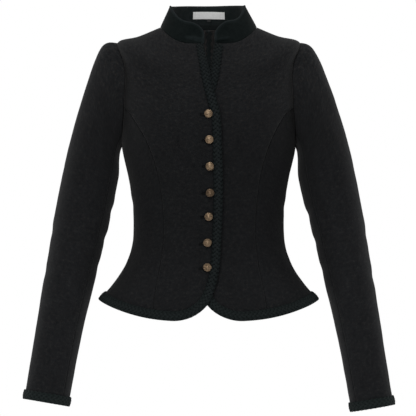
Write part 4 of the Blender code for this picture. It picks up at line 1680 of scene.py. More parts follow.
@dataclass(frozen=True)
class ButtonRow:
    """Seven domed shank buttons down the right front, and the slits they stand in."""

    torso: Torso
    places: tuple[Pair, ...] = (
        (0.0859, -0.0022),
        (0.1273, -0.0020),
        (0.1736, 0.0),
        (0.2139, 0.0022),
        (0.2578, 0.0021),
        (0.2999, 0.0016),
        (0.3416, -0.0010),
    )
    tarnish: tuple[float, ...] = (0.14, 0.12, 0.10, 0.26, 0.0, 0.0, 0.04)
    slimming: float = 0.92
    slit_drop: float = 0.0013
    sides: int = 64
    shank: float = 0.0015
    clearance: float = 0.0008
    slit: Pair = (0.0140, 0.0012)
    purl_pitch: float = 0.00062
    # Heights in millimetres: the foot's rim over its base, the stem's top, its flare, the crown
    heights: Quad = (0.3, 3.2, 3.75, 8.36)
    # The head's rings: radius and height in millimetres, and how worn it is
    outline: tuple[Triple, ...] = (
        (5.60, 3.85, 0.1),
        (6.60, 3.92, 0.2),
        (7.20, 4.15, 0.5),
        (7.50, 4.60, 0.9),
        (7.44, 5.05, 0.9),
        (7.20, 5.45, 1.0),
        (6.90, 5.72, 0.8),
        (6.62, 5.70, 0.2),
        (6.46, 5.50, 0.0),
        (6.30, 5.62, 0.1),
        (6.10, 6.02, 0.7),
        (5.80, 6.30, 1.0),
        (5.45, 6.42, 0.8),
        (5.22, 6.32, 0.2),
        (5.08, 6.22, 0.0),
        (4.92, 6.44, 0.3),
        (4.60, 6.84, 0.7),
        (4.10, 7.14, 0.8),
        (3.60, 7.32, 0.7),
        (3.28, 7.30, 0.3),
        (3.12, 7.20, 0.0),
        (2.96, 7.34, 0.4),
        (2.60, 7.62, 0.9),
        (2.10, 7.80, 0.9),
        (1.72, 7.78, 0.4),
        (1.52, 7.70, 0.1),
        (1.32, 7.86, 0.6),
        (0.95, 8.16, 1.0),
        (0.50, 8.32, 1.0),
    )

    def place(self, number: int) -> tuple[Array, Array, Array]:
        """Where a button stands.

        Args:
            number: its place in the row, 0 the lowest.

        Returns:
            The place, the normal and the place on the left front.
        """
        level, x = self.places[number]
        torso = self.torso
        angle = torso.angle_at(-x, level, Face.FRONT)
        at = torso.cloth(angle, level, Face.FRONT, Side.RIGHT)
        normal = torso.facing(torso.cloth, angle, level, Face.FRONT, Side.RIGHT)
        under_angle = torso.angle_at(x, level, Face.FRONT)
        under = torso.cloth(under_angle, level, Face.FRONT, Side.LEFT)
        sway = creased(BODY_CREASES, at[None], normal[None], 1.0)[0]
        return at + normal * sway, normal, under

    def profile(self, foot: float) -> Array:
        """The turned outline from the shank's foot to the crown, in metres.

        Args:
            foot: the height of the shank's foot over the right front, below 0.

        Returns:
            Rows of radius, height and wear.
        """
        stem, low = self.shank * 1000, foot * 1000
        edge, top, flare, crown = self.heights
        head = [
            (0.0, low, 0.0),
            (stem * 0.9, low, 0.0),
            (stem, low + edge, 0.1),
            (stem, top, 0.1),
            (stem * 1.5, flare, 0.1),
        ]
        rows = np.array([*head, *self.outline, (0.0, crown, 1.0)])
        rows[:, :2] /= 1000
        rows[len(head) :, 0] *= self.slimming
        return rows

    def button(self, number: int) -> bpy.types.Object:
        """One button, turned about the normal of the cloth under it.

        Args:
            number: its place in the row, 0 the lowest.

        Returns:
            The object.
        """
        at, normal, under = self.place(number)
        rows = self.profile(float((under - at) @ normal) + self.clearance)
        side = unit(np.cross(normal, np.array([0.0, 0.0, 1.0])))
        up = np.cross(side, normal)
        turns = np.arange(self.sides) * math.tau / self.sides
        spokes = np.cos(turns)[:, None] * side + np.sin(turns)[:, None] * up
        shape = bmesh.new()
        wear = shape.verts.layers.float.new("patina")
        rings = []
        for radius, height, worn in rows:
            spots = at + normal * height + spokes * radius if radius else [at + normal * height]
            ring = [shape.verts.new(spot) for spot in spots]
            for vert in ring:
                vert[wear] = worn - self.tarnish[number]
            rings.append(ring)
        for low, high in zip(rings, rings[1:]):
            for k in range(self.sides):
                j = (k + 1) % self.sides
                four = (low[k % len(low)], low[j % len(low)], high[j % len(high)], high[k % len(high)])
                shape.faces.new(list(dict.fromkeys(four)))
        bmesh.ops.recalc_face_normals(shape, faces=shape.faces)
        mesh = bpy.data.meshes.new(f"brass_button_{number + 1}")
        shape.to_mesh(mesh)
        shape.free()
        mesh.materials.append(BRASS.material())
        mesh.shade_smooth()
        return linked(mesh.name, mesh)

    def slit_ends(self, number: int) -> Pair:
        """The x of a slit's two ends, the one by the shank first."""
        x = self.places[number][1]
        return x + self.shank, x + self.shank - self.slit[0]

    def purl_path(self, number: int) -> tuple[Array, Array, Array]:
        """Places round a slit for its stitches.

        Args:
            number: the button's number.

        Returns:
            The places, the ways out from the slit, and the cloth's normals.
        """
        level = self.places[number][0] - self.slit_drop
        near, far = self.slit_ends(number)
        half = self.slit[1] / 2
        x = np.arange(far, near, self.purl_pitch)
        ends = np.linspace(-1, 1, 4)
        flat = [(a, level + half, 0.0, 1.0) for a in x] + [(a, level - half, 0.0, -1.0) for a in x]
        for end, sign in ((far, -1.0), (near, 1.0)):
            flat += [(end, level + half * b, sign * math.cos(b), math.sin(b)) for b in ends]
        spots = np.array(flat)
        torso = self.torso
        angle = torso.angle_at(-spots[:, 0], spots[:, 1], Face.FRONT)
        at = torso.cloth(angle, spots[:, 1], Face.FRONT, Side.RIGHT)
        normal = torso.facing(torso.cloth, angle, spots[:, 1], Face.FRONT, Side.RIGHT)
        at = at + normal * creased(BODY_CREASES, at, normal, 1.0)[:, None]
        side = unit(np.cross(np.array([0.0, 0.0, 1.0]), normal))
        side = side * np.sign(side[:, :1])
        up = np.array([0.0, 0.0, 1.0]) - normal * normal[:, 2:]
        return at, unit(side * spots[:, 2:3] + unit(up) * spots[:, 3:4]), normal


@dataclass(frozen=True)
class Stitches:
    """Short raised stitches, each from a place outward over the cloth."""

    length: float
    height: float
    thick: float
    seed: int = 5
    uneven: Pair = (0.86, 1.14)

    def tool(self, values: dict[str, object]) -> GeometryTool:
        """The tree: an arched thread on every point of the guide.

        Args:
            values: its inputs.

        Returns:
            The tool, ready to run.
        """
        tool = GeometryTool("stitches", values)
        shop, node, given = tool.shop, tool.shop.node, tool.given
        length = given("Length")
        start, end = (shop.joined(length * share, 0.0, 0.0) for share in (0.0, 1.0))
        top = shop.joined(length * 0.5, 0.0, given("Height") * 2.0)
        arch = {"Resolution": 5, "Start": start, "Middle": top, "End": end}
        thread = {"Resolution": 6, "Radius": given("Thread") * 0.5}
        swept = {
            "Curve": node("GeometryNodeCurveQuadraticBezier", None, arch),
            "Profile Curve": node("GeometryNodeCurvePrimitiveCircle", None, thread),
            "Fill Caps": True,
        }
        turn = {"Primary Axis": tool.read("up"), "Secondary Axis": tool.read("out")}
        axes = {"primary_axis": "Z", "secondary_axis": "X"}
        vary = {"Min": self.uneven[0], "Max": self.uneven[1], "Seed": given("Seed")}
        stitches = {
            "Points": node("GeometryNodeMeshToPoints", None, {"Mesh": given("Geometry"), "Radius": 0.001}),
            "Instance": node("GeometryNodeCurveToMesh", None, swept),
            "Rotation": node("FunctionNodeAxesToRotation", axes, turn),
            "Scale": node("FunctionNodeRandomValue", {"data_type": "FLOAT"}, vary),
        }
        return tool.close(node("GeometryNodeInstanceOnPoints", None, stitches))

    def sew(self, name: str, at: Array, out: Array, up: Array, finish: Finish) -> bpy.types.Object:
        """Sews a stitch at each place.

        Args:
            name: the object's name.
            at: the places.
            out: the way of each stitch.
            up: the cloth's normal at each.
            finish: the thread's finish.

        Returns:
            The stitches as one mesh object.
        """
        guide = guide_object(at, [], {"out": out, "up": up})
        values = {
            "Length": self.length,
            "Height": self.height,
            "Thread": self.thick,
            "Seed": self.seed,
            "Material": finish.material(),
        }
        return self.tool(values).run(name, guide)


def guide_object(
    points: Array, edges: Sequence[tuple[int, int]], marks: dict[str, Array]
) -> bpy.types.Object:
    """A bare mesh that a tree reads: points, edges and named vectors on the points.

    Args:
        points: the places.
        edges: the pairs that are joined.
        marks: a vector for each point, by name.

    Returns:
        The object.
    """
    mesh = bpy.data.meshes.new("guide")
    mesh.from_pydata(points.tolist(), list(edges), [])
    for label, vectors in marks.items():
        layer = mesh.attributes.new(label, "FLOAT_VECTOR", "POINT")
        layer.data.foreach_set("vector", np.ascontiguousarray(vectors, np.float32).ravel())
    return linked("guide", mesh)


# ------------------------------------------------------------------ the bodice and the sleeves


@dataclass(frozen=True)
class Bodice:
    """The eight panels of the body and the lining of the middle back."""

    torso: Torso
    buttons: ButtonRow
    cloth: float = 0.0022
    lining_cloth: float = 0.0010
    lining_gap: float = 0.00070
    lining_share: float = 4 / 6
    lining_levels: Pair = (0.040, 0.4642)
    lining_grid: tuple[int, int] = (108, 73)
    pleat: Triple = (0.0010, 0.004, 0.0004)
    slack_swell: Pair = (0.05, 2.0)
    pitch: float = 0.0033
    front_pitch: float = 0.00297
    facing_width: float = 0.056
    hem_facing: float = 0.030
    front_run: float = 0.098
    back_run: float = 0.088
    side_run: Pair = (0.095, 0.318)
    side_top: float = 0.33
    # How columns bend to a slit: over what turn, on rows how near, and how that fades
    slit_bend: Quad = (0.09, 0.012, 0.010, 1.25)
    slit_rows: Triple = (0.0006, 0.0016, 0.0032)
    slit_clear: float = 0.0040
    slit_tall: float = 0.0007
    purl_sink: float = 0.0001
    cuts: dict[str, Cut] = field(
        default_factory=lambda: {
            "front": Cut(0.170, 0.475, 0.0670),
            "side_front": Cut(0.138, 0.345, 0.0376),
            "side_back": Cut(0.150, 0.345, 0.0420),
            "back": Cut(0.150, 0.475, 0.0560),
            "lining": Cut(0.255, 0.470, 0.0700),
        }
    )

    def sway(self, points: Array, normals: Array) -> Array:
        """How the body's creases move the cloth."""
        return creased(BODY_CREASES, points, normals, 1.0)

    def front_levels(self, side: Side) -> Array:
        """The rows of a front, with rows along each slit on the right one.

        Args:
            side: which front.

        Returns:
            Rising levels.
        """
        levels = self.torso.panel_levels(self.pitch)
        if side == Side.LEFT:
            return levels
        for level, _ in self.buttons.places:
            levels = levels[np.abs(levels - level) > self.slit_clear]
            near = [level + sign * row for row in self.slit_rows for sign in (-1, 1)]
            levels = np.sort(np.concatenate([levels, near]))
        return levels

    def open_slits(self, angles: Array, levels: Array) -> Array:
        """Bends the right front's columns to the slits' ends.

        Args:
            angles: the grid's turns, changed in place.
            levels: its rows.

        Returns:
            Which cells stay cloth.
        """
        wide, tall, full, still = self.slit_bend
        keep = np.ones((len(levels) - 1, angles.shape[1] - 1), bool)
        for number, (level, _) in enumerate(self.buttons.places):
            slit = self.buttons.slit_ends(number)
            ends = [float(self.torso.angle_at(-x, level, Face.FRONT)) for x in slit]
            rows = np.flatnonzero(np.abs(levels - level) < tall)
            middle = rows[np.argmin(np.abs(levels[rows] - level))]
            first, last = (int(np.argmin(np.abs(angles[middle] - end))) for end in ends)
            for row in rows:
                line = angles[row]
                knots = [line[first] - wide, line[first], line[last], line[last] + wide]
                moves = [0.0, ends[0] - line[first], ends[1] - line[last], 0.0]
                share = float(ease(still - abs(levels[row] - level) / full))
                angles[row] = line + np.interp(line, knots, moves) * share
            opening = np.flatnonzero(np.abs(levels - level) < self.slit_tall)
            keep[opening[0], first:last] = False
        return keep

    def front(self, side: Side) -> bpy.types.Object:
        """A front panel; the right one has the slits.

        Args:
            side: which front.

        Returns:
            The object.
        """
        levels = self.front_levels(side)
        shares = spaced(self.front_run, self.front_pitch, False, True)
        inner = self.torso.edge_angle(levels, side)[:, None]
        outer = self.torso.outer_angle(levels, Face.FRONT, side)[:, None]
        angles = blend(inner, outer, shares[None])
        keep = self.open_slits(angles, levels) if side == Side.RIGHT else None
        piece = self.panel(self.torso.cloth, angles, levels[:, None], Face.FRONT, side, keep)
        run = piece.distance(Edge.FIRST)[:-1, 1:]
        piece.lined = (run > self.facing_width) & (levels[:-1, None] > self.hem_facing)
        piece.sewn, piece.flat = Edge.LAST | Edge.HIGH, Edge.HIGH
        return self.finish(piece, "front", side, f"front_{side.word}")

    def back(self, side: Side) -> bpy.types.Object:
        """A back panel.

        Args:
            side: which back.

        Returns:
            The object.
        """
        levels = self.torso.panel_levels(self.pitch)
        shares = spaced(self.back_run, self.pitch, True, True)
        angles = self.torso.outer_angle(levels, Face.BACK)[:, None] * shares[None]
        piece = self.panel(self.torso.skin, angles, levels[:, None], Face.BACK, side)
        piece.lined = np.broadcast_to(levels[:-1, None] > self.hem_facing, (len(levels) - 1, len(shares) - 1))
        piece.sewn, piece.flat = Edge.FIRST | Edge.LAST | Edge.HIGH, Edge.HIGH
        return self.finish(piece, "back", side, f"back_{side.word}")

    def side_panel(self, face: Face, side: Side) -> bpy.types.Object:
        """A panel between the princess seam and the side seam, up to the armhole.

        Args:
            face, side: which panel.

        Returns:
            The object.
        """
        torso = self.torso
        columns = spaced(self.side_run[0], self.pitch, True, True)
        steps = blend(torso.princess_step, torso.armhole_steps / 2, columns)
        top_angle, top_level, _ = torso.armhole_place(steps)
        ups = spaced(self.side_run[1], self.pitch, False, True)[:, None]
        seam = torso.princess_angle(ups * top_level[0], face, side)
        share_top = (top_angle - top_angle[0]) / (math.pi / 2 - top_angle[0])
        angles = blend(seam, math.pi / 2, blend(columns, share_top, ups**2))
        piece = self.panel(torso.skin, angles, ups * top_level, face, side)
        high = ups[:-1] * self.side_top > self.hem_facing
        piece.lined = np.broadcast_to(high, (len(ups) - 1, len(columns) - 1))
        piece.sewn = Edge.FIRST | Edge.LAST | Edge.HIGH
        name = f"side_{face.name.lower()}"
        return self.finish(piece, name, side, f"{name}_{side.word}")

    def panel(
        self,
        surface: Surface,
        angles: Array,
        levels: Array,
        face: Face,
        side: Side,
        keep: Array | None = None,
    ) -> ClothPiece:
        """The cloth at a grid of turns and levels.

        Args:
            surface: the torso's skin or cloth.
            angles: the grid's turns.
            levels: its levels.
            face: front or back.
            side: right or left.
            keep: which cells are cloth.

        Returns:
            The piece, not yet sewn.
        """
        points = surface(angles, levels, face, side)
        normals = self.torso.facing(surface, angles, levels, face, side)
        return ClothPiece(points, normals, self.cloth, sway=self.sway(points, normals), keep=keep)

    def finish(self, piece: ClothPiece, cut: str, side: Side, node: str) -> bpy.types.Object:
        """Builds and fits a panel in place of its CAD node.

        Args:
            piece: the panel, sewn.
            cut: the name of its cut.
            side: its side.
            node: the CAD node.

        Returns:
            The object.
        """
        cloth = SIDE_LODENS[side] if cut.startswith("side") else LODEN
        made = piece.build(f"loden_{node}", (cloth, LINING))
        fit(made, Slot.LODEN, node)
        self.cuts[cut].declare(made)
        return made

    def back_lining(self) -> bpy.types.Object:
        """The lining of the middle back."""
        torso, share = self.torso, self.lining_share
        rows = np.linspace(*self.lining_levels, self.lining_grid[0])
        shares = np.linspace(-share, share, self.lining_grid[1])
        angles = torso.outer_angle(rows, Face.BACK)[:, None] * np.abs(shares)[None]
        sides = np.where(shares < 0, Side.RIGHT, Side.LEFT)[None]
        place = (angles, rows[:, None], Face.BACK, sides)
        points = torso.skin(*place)
        normals = torso.facing(torso.skin, *place)
        deep, wide, slack = self.pleat
        pleat = deep * bell(points[..., 0], wide) - slack * (1 + ripple(points, *self.slack_swell))
        points = points - normals * (self.cloth + self.lining_gap + np.maximum(pleat, 0))[..., None]
        piece = ClothPiece(points, normals, self.lining_cloth, sway=self.sway(points, normals))
        made = fit(piece.build("lining_middle_back", (BACK_LINING, BACK_LINING)), Slot.LINING, "back_lining")
        self.cuts["lining"].declare(made)
        return made

    def buttonholes(self) -> bpy.types.Object:
        """The purled edges of the seven slits."""
        paths = [self.buttons.purl_path(number) for number in range(len(self.buttons.places))]
        at, out, up = (np.concatenate(parts) for parts in zip(*paths))
        purl = Stitches(length=0.0017, height=0.00042, thick=0.00056)
        return fit(purl.sew("buttonhole_twist", at - up * self.purl_sink, out, up, TWIST), Slot.LODEN)


@dataclass(frozen=True)
class Sleeve:
    """One two-piece sleeve with a small gathered head."""

    form: SleeveForm
    cloth: float = 0.0022
    pitch: float = 0.0034
    head_run: float = 0.135
    row_stretch: float = 1.15
    step_run: float = 0.0117
    lined_to: float = 0.92
    seams: tuple[int, int] = (10, 18)
    gather: Triple = (0.0011, 0.015, 4.2)
    gather_ends: Pair = (0.003, 1.6)
    gather_waves: Triple = (1.15, 0.8, 0.35)
    gather_drift: Triple = (0.16, 2.3, 1.7)
    upper_cut: Cut = Cut(0.240, 0.625, 0.1190)
    under_cut: Cut = Cut(0.112, 0.520, 0.0380)

    def travels(self) -> Array:
        """The rows from the armhole to the cuff."""
        cap = spaced(self.head_run, self.pitch, True, False) - 1
        arm = np.linspace(0, 1, int(self.form.hang.drop / self.pitch / self.row_stretch))
        return np.concatenate([cap, arm[1:]])

    def sway(self, points: Array, normals: Array) -> Array:
        """How the sleeve's creases move the cloth."""
        return creased(SLEEVE_CREASES[self.form.side], points, normals, 2.0 + self.form.side)

    def gathers(self, steps: Array, run: Array) -> Array:
        """The small gathers at the sleeve's head, near the armhole.

        Args:
            steps: turns, in armhole steps.
            run: distances from the armhole.

        Returns:
            How far they lift the cloth.
        """
        depth, fade, reach = self.gather
        start, end = self.gather_ends
        often, usual, swing = self.gather_waves
        drift, slow, slower = self.gather_drift
        uneven = steps + drift * np.sin(steps * slow + 1.0)
        waves = np.cos(uneven * math.tau * often) * (usual + swing * np.sin(steps * slower + self.form.side))
        near = np.exp(-run / fade) * ease(run / start)
        return depth * waves * ease((reach - np.abs(steps)) / end) * near

    def piece(self, name: str, first: int, last: int, cut: Cut) -> bpy.types.Object:
        """The upper or under sleeve.

        Args:
            name: its CAD node without the side.
            first: the armhole step of its first seam.
            last: the step of its last seam.
            cut: its flat size.

        Returns:
            The object.
        """
        steps = blend(first, last, spaced((last - first) * self.step_run, self.pitch, True, True))[None]
        travels = self.travels()[:, None]
        points, normals = self.form.point(steps, travels), self.form.normal(steps, travels)
        sewn = Edge.FIRST | Edge.LAST | Edge.LOW
        made = ClothPiece(points, normals, self.cloth, sewn, self.sway(points, normals))
        made.relief = self.gathers(np.broadcast_to(steps, points.shape[:2]), made.distance(Edge.LOW))
        made.lined = np.broadcast_to(travels[:-1] < self.lined_to, (len(travels) - 1, steps.shape[1] - 1))
        node = f"{name}_{self.form.side.word}"
        cloth = UNDER_LODEN if "under" in node else SLEEVE_LODEN
        piece = fit(made.build(f"loden_{node}", (cloth, LINING)), Slot.LODEN, node)
        cut.declare(piece)
        return piece

    def build(self) -> None:
        """Makes both pieces."""
        front_seam, back_seam = self.seams
        steps = self.form.torso.armhole_steps
        self.piece("sleeve_upper", back_seam - steps, front_seam, self.upper_cut)
        self.piece("sleeve_under", front_seam, back_seam, self.under_cut)


# ------------------------------------------------------------------ the plaited edging


@dataclass(frozen=True)
class Plait:
    """A flat plait of strands, each over and under its neighbours, laid along a guide."""

    width: float = 0.0170
    strands: int = 5
    pitch: float = 0.0074
    strand: Pair = (0.0043, 0.0016)
    rise: float = 0.00060
    crossings: float = 4.0
    dome: float = 0.0008
    tilts: Pair = (-0.28, 0.40)
    clearance: float = 0.0002
    proud: float = 0.0006
    turn: float = 0.93
    sides: int = 9
    step: float = 0.0012

    def tool(self, values: dict[str, object]) -> GeometryTool:
        """The tree: every strand's wave along the guide, swept as a flat yarn.

        Args:
            values: its inputs.

        Returns:
            The tool, ready to run.
        """
        tool = GeometryTool("plait", values)
        shop, node, given, keep, read = tool.shop, tool.shop.node, tool.given, tool.keep, tool.read
        rise, dome, thick = given("Rise"), given("Dome"), given("Strand Thickness")
        line = node("GeometryNodeMeshToCurve", None, {"Mesh": given("Geometry")})
        line = node("GeometryNodeResampleCurve", {"mode": "LENGTH"}, {"Curve": line, "Length": given("Step")})
        sockets = {"Geometry": line, "Amount": given("Strands")}
        copies = node("GeometryNodeDuplicateElements", {"domain": "SPLINE"}, sockets)
        run = node("GeometryNodeSplineParameter").other("Length")
        phase = (run / given("Period") + copies.other("Duplicate Index") / given("Strands")) * math.tau
        swing = (phase.sine() * self.turn).arcsine() * (1 / math.asin(self.turn))
        aside = shop.scaled(read("across"), swing * given("Half Width"))
        over = (phase * given("Crossings")).sine() * rise
        over = over + dome * (1 - (swing + shop.parts(read("tilt"))[0]) ** 2.0)
        above = shop.scaled(read("up"), over + rise + thick * 0.5 + given("Clearance"))
        move = node("ShaderNodeVectorMath", {"operation": "ADD"}, {0: aside, 1: above})
        lines = keep(keep(copies, "run", run), "over", over)
        lines = node("GeometryNodeSetPosition", None, {"Geometry": lines, "Offset": move})
        lines = node("GeometryNodeSetCurveNormal", {"mode": "FREE"}, {"Curve": lines, "Normal": read("up")})
        oval = node("GeometryNodeCurvePrimitiveCircle", None, {"Resolution": self.sides, "Radius": 0.5})
        size = shop.joined(thick, given("Strand Width"), 1.0)
        turned = {"Geometry": oval, "Scale": size, "Rotation": (0.0, 0.0, math.pi)}
        around = node("GeometryNodeSplineParameter").other("Factor")
        oval = keep(node("GeometryNodeTransform", None, turned), "around", around)
        oval = keep(oval, "top", ((around + 0.25) * math.tau).sine() * thick * -0.5)
        sockets = {"Curve": lines, "Profile Curve": oval, "Fill Caps": True}
        strands = node("GeometryNodeCurveToMesh", None, sockets)
        length, round_, over, top = (read(name, "FLOAT") for name in ("run", "around", "over", "top"))
        # The height over the cloth, kept on the yarn for BraidYarn's painted shade and light
        reach = rise + thick * 0.5
        height = (over + top + reach) / (reach * 2.0 + dome)
        return tool.close(keep(strands, "yarn", shop.joined(length, round_, height), "FLOAT_VECTOR"))

    def lay(
        self, name: str, points: Array, across: Array, up: Array, tip: Array | float, ring: bool
    ) -> bpy.types.Object:
        """Lays the plait along a line.

        Args:
            name: the object's name.
            points: the line, down the middle of the plait on the cloth.
            across: the way across the plait at each point.
            up: the cloth's normal at each point.
            tip: how far its crown leans to its outer edge at each point.
            ring: whether the line closes on itself.

        Returns:
            The plait as one mesh object.
        """
        count = len(points)
        edges = [(k, k + 1) for k in range(count - 1)] + ([(count - 1, 0)] if ring else [])
        ends = np.roll(points, -1, axis=0) - points
        length = float(np.linalg.norm(ends if ring else ends[:-1], axis=1).sum())
        period = self.pitch * self.strands
        if ring:
            period = length / max(round(length / period), 1)
        values = {
            "Strands": self.strands,
            "Period": period,
            "Half Width": (self.width - self.strand[0]) / 2,
            "Rise": self.rise,
            "Crossings": self.crossings,
            "Dome": self.dome,
            "Clearance": self.clearance,
            "Strand Width": self.strand[0],
            "Strand Thickness": self.strand[1],
            "Step": self.step,
            "Material": BRAID.material(),
        }
        tilt = np.zeros((count, 3))
        tilt[:, 0] = tip
        guide = guide_object(points, edges, {"across": across, "up": up, "tilt": tilt})
        return self.tool(values).run(name, guide)


@dataclass(frozen=True)
class Edging:
    """The plaits along both fronts and the hem, and round the cuffs."""

    bodice: Bodice
    plait: Plait
    spacing: float = 0.0022
    # Where the line ends: metres below the neck, radians before the middle back
    stops: Pair = (0.0010, 0.002)
    # Places down the edge, round its corner, along the front hem, along the back and round a cuff
    counts: tuple[int, ...] = (220, 120, 120, 160, 130)
    smoothings: int = 3
    neck_margin: float = 0.0005
    probe: Pair = (0.005, 0.001)
    tries: int = 4
    hem_tilt: Pair = (-0.43, 0.04)
    narrowed: dict[Side, Triple] = field(
        default_factory=lambda: {Side.RIGHT: (0.76, -0.030, -0.100), Side.LEFT: (0.92, -0.030, -0.060)}
    )

    def edge_route(self, side: Side) -> tuple[Array, Array, Array]:
        """The line down a front's edge and along the hem to the middle back.

        Args:
            side: which front.

        Returns:
            The turns, levels and faces.
        """
        torso = self.bodice.torso
        height = torso.corner[0]
        down = np.linspace(torso.top - self.stops[0], height, self.counts[0])
        round_ = height * (1 - np.sin(np.linspace(0, math.pi / 2, self.counts[1])))[1:]
        levels = np.concatenate([down, round_])
        angles = torso.edge_angle(levels, side)
        front = np.linspace(float(angles[-1]), math.pi / 2, self.counts[2])[1:]
        back = np.linspace(math.pi / 2, self.stops[1], self.counts[3])[1:]
        angle = np.concatenate([angles, front, back])
        level = np.concatenate([levels, np.zeros(len(front) + len(back))])
        face = np.concatenate([np.full(len(levels) + len(front), Face.FRONT), np.full(len(back), Face.BACK)])
        return angle, level, face

    def walk(self, place: tuple[Array, Array, Array], side: Side, move: Array) -> tuple[Array, Array]:
        """The surface reached by a move from each place on it.

        Args:
            place: the (angle, level, face) of each start.
            side: the side of the body.
            move: the move from each.

        Returns:
            The points, swayed with the cloth, and the normals there.
        """
        torso = self.bodice.torso
        angle, level, face = (np.array(part, float) for part in place)
        target = torso.cloth(angle, level, face, side) + move
        turn, rise = self.probe
        top = torso.top - self.neck_margin
        for _ in range(self.tries):
            point = torso.cloth(angle, level, face, side)
            by_angle = (torso.cloth(angle + turn, level, face, side) - point) / turn
            by_level = (torso.cloth(angle, level + rise, face, side) - point) / rise
            left = target - point
            pairs = ((by_angle, by_angle), (by_angle, by_level), (by_level, by_level))
            aa, al, ll = ((a * b).sum(-1) for a, b in pairs)
            ma, ml = (left * by_angle).sum(-1), (left * by_level).sum(-1)
            spread = aa * ll - al * al
            angle = angle + (ma * ll - ml * al) / spread
            level = np.clip(level + (ml * aa - ma * al) / spread, 0.0, top)
        point = torso.cloth(angle, level, face, side)
        normal = torso.facing(torso.cloth, angle, level, face, side)
        return point + normal * self.bodice.sway(point, normal)[:, None], normal

    def edge(self, side: Side) -> bpy.types.Object:
        """The plait from the neck down one front and along the hem to the middle back.

        Args:
            side: which front.

        Returns:
            The object.
        """
        torso = self.bodice.torso
        place = self.edge_route(side)
        line = torso.cloth(*place, side)
        run = travelled(line)
        even = np.linspace(0, run[-1], int(run[-1] / self.spacing))
        place = tuple(np.interp(even, run, part) for part in place[:2]) + (
            place[2][np.clip(np.searchsorted(run, even, side="right") - 1, 0, len(run) - 1)],
        )
        line = torso.cloth(*place, side)
        along = unit(np.gradient(line, axis=0))
        normal = torso.facing(torso.cloth, *place, side)
        inward = unit(np.cross(normal, along) * float(side))
        least, start, end = self.narrowed[side]
        share = blend(least, 1.0, ease((start - line[:, 2:]) / (start - end)))
        points, normals = self.walk(place, side, inward * (self.plait.width / 2 * share - self.plait.proud))
        normals = smoothed(normals, self.smoothings)
        along = unit(np.gradient(points, axis=0))
        across = unit(np.cross(normals, along)) * float(side) * share
        tip = blend(*self.plait.tilts, ease((self.hem_tilt[0] - points[:, 2]) / self.hem_tilt[1]))
        made = self.plait.lay(f"plait_edge_{side.word}", points, across, unit(normals), tip, False)
        return fit(made, Slot.BRAID, f"edge_braid_{side.word}")

    def cuff(self, sleeve: Sleeve) -> bpy.types.Object:
        """The plait round a cuff.

        Args:
            sleeve: the sleeve that it ends.

        Returns:
            The object.
        """
        form = sleeve.form
        steps = np.linspace(0, form.torso.armhole_steps, self.counts[4])[:-1]
        travel = 1 - (self.plait.width / 2 - self.plait.proud) / form.hang.drop
        points, normals = form.point(steps, travel), form.normal(steps, travel)
        points = points + normals * sleeve.sway(points, normals)[:, None]
        along = unit(np.roll(points, -1, axis=0) - np.roll(points, 1, axis=0))
        across = unit(np.cross(normals, along))
        made = self.plait.lay(f"plait_cuff_{form.side.word}", points, across, normals, 0.0, True)
        return fit(made, Slot.BRAID, f"cuff_braid_{form.side.word}")


def smoothed(values: Array, times: int) -> Array:
    """Rows averaged with their neighbours, a few times over.

    Args:
        values: the rows.
        times: how often.

    Returns:
        The smoother rows.
    """
    for _ in range(times):
        padded = np.concatenate([values[:1], values, values[-1:]])
        values = (padded[:-2] + 2 * padded[1:-1] + padded[2:]) / 4
    return values


# ------------------------------------------------------------------ the collar


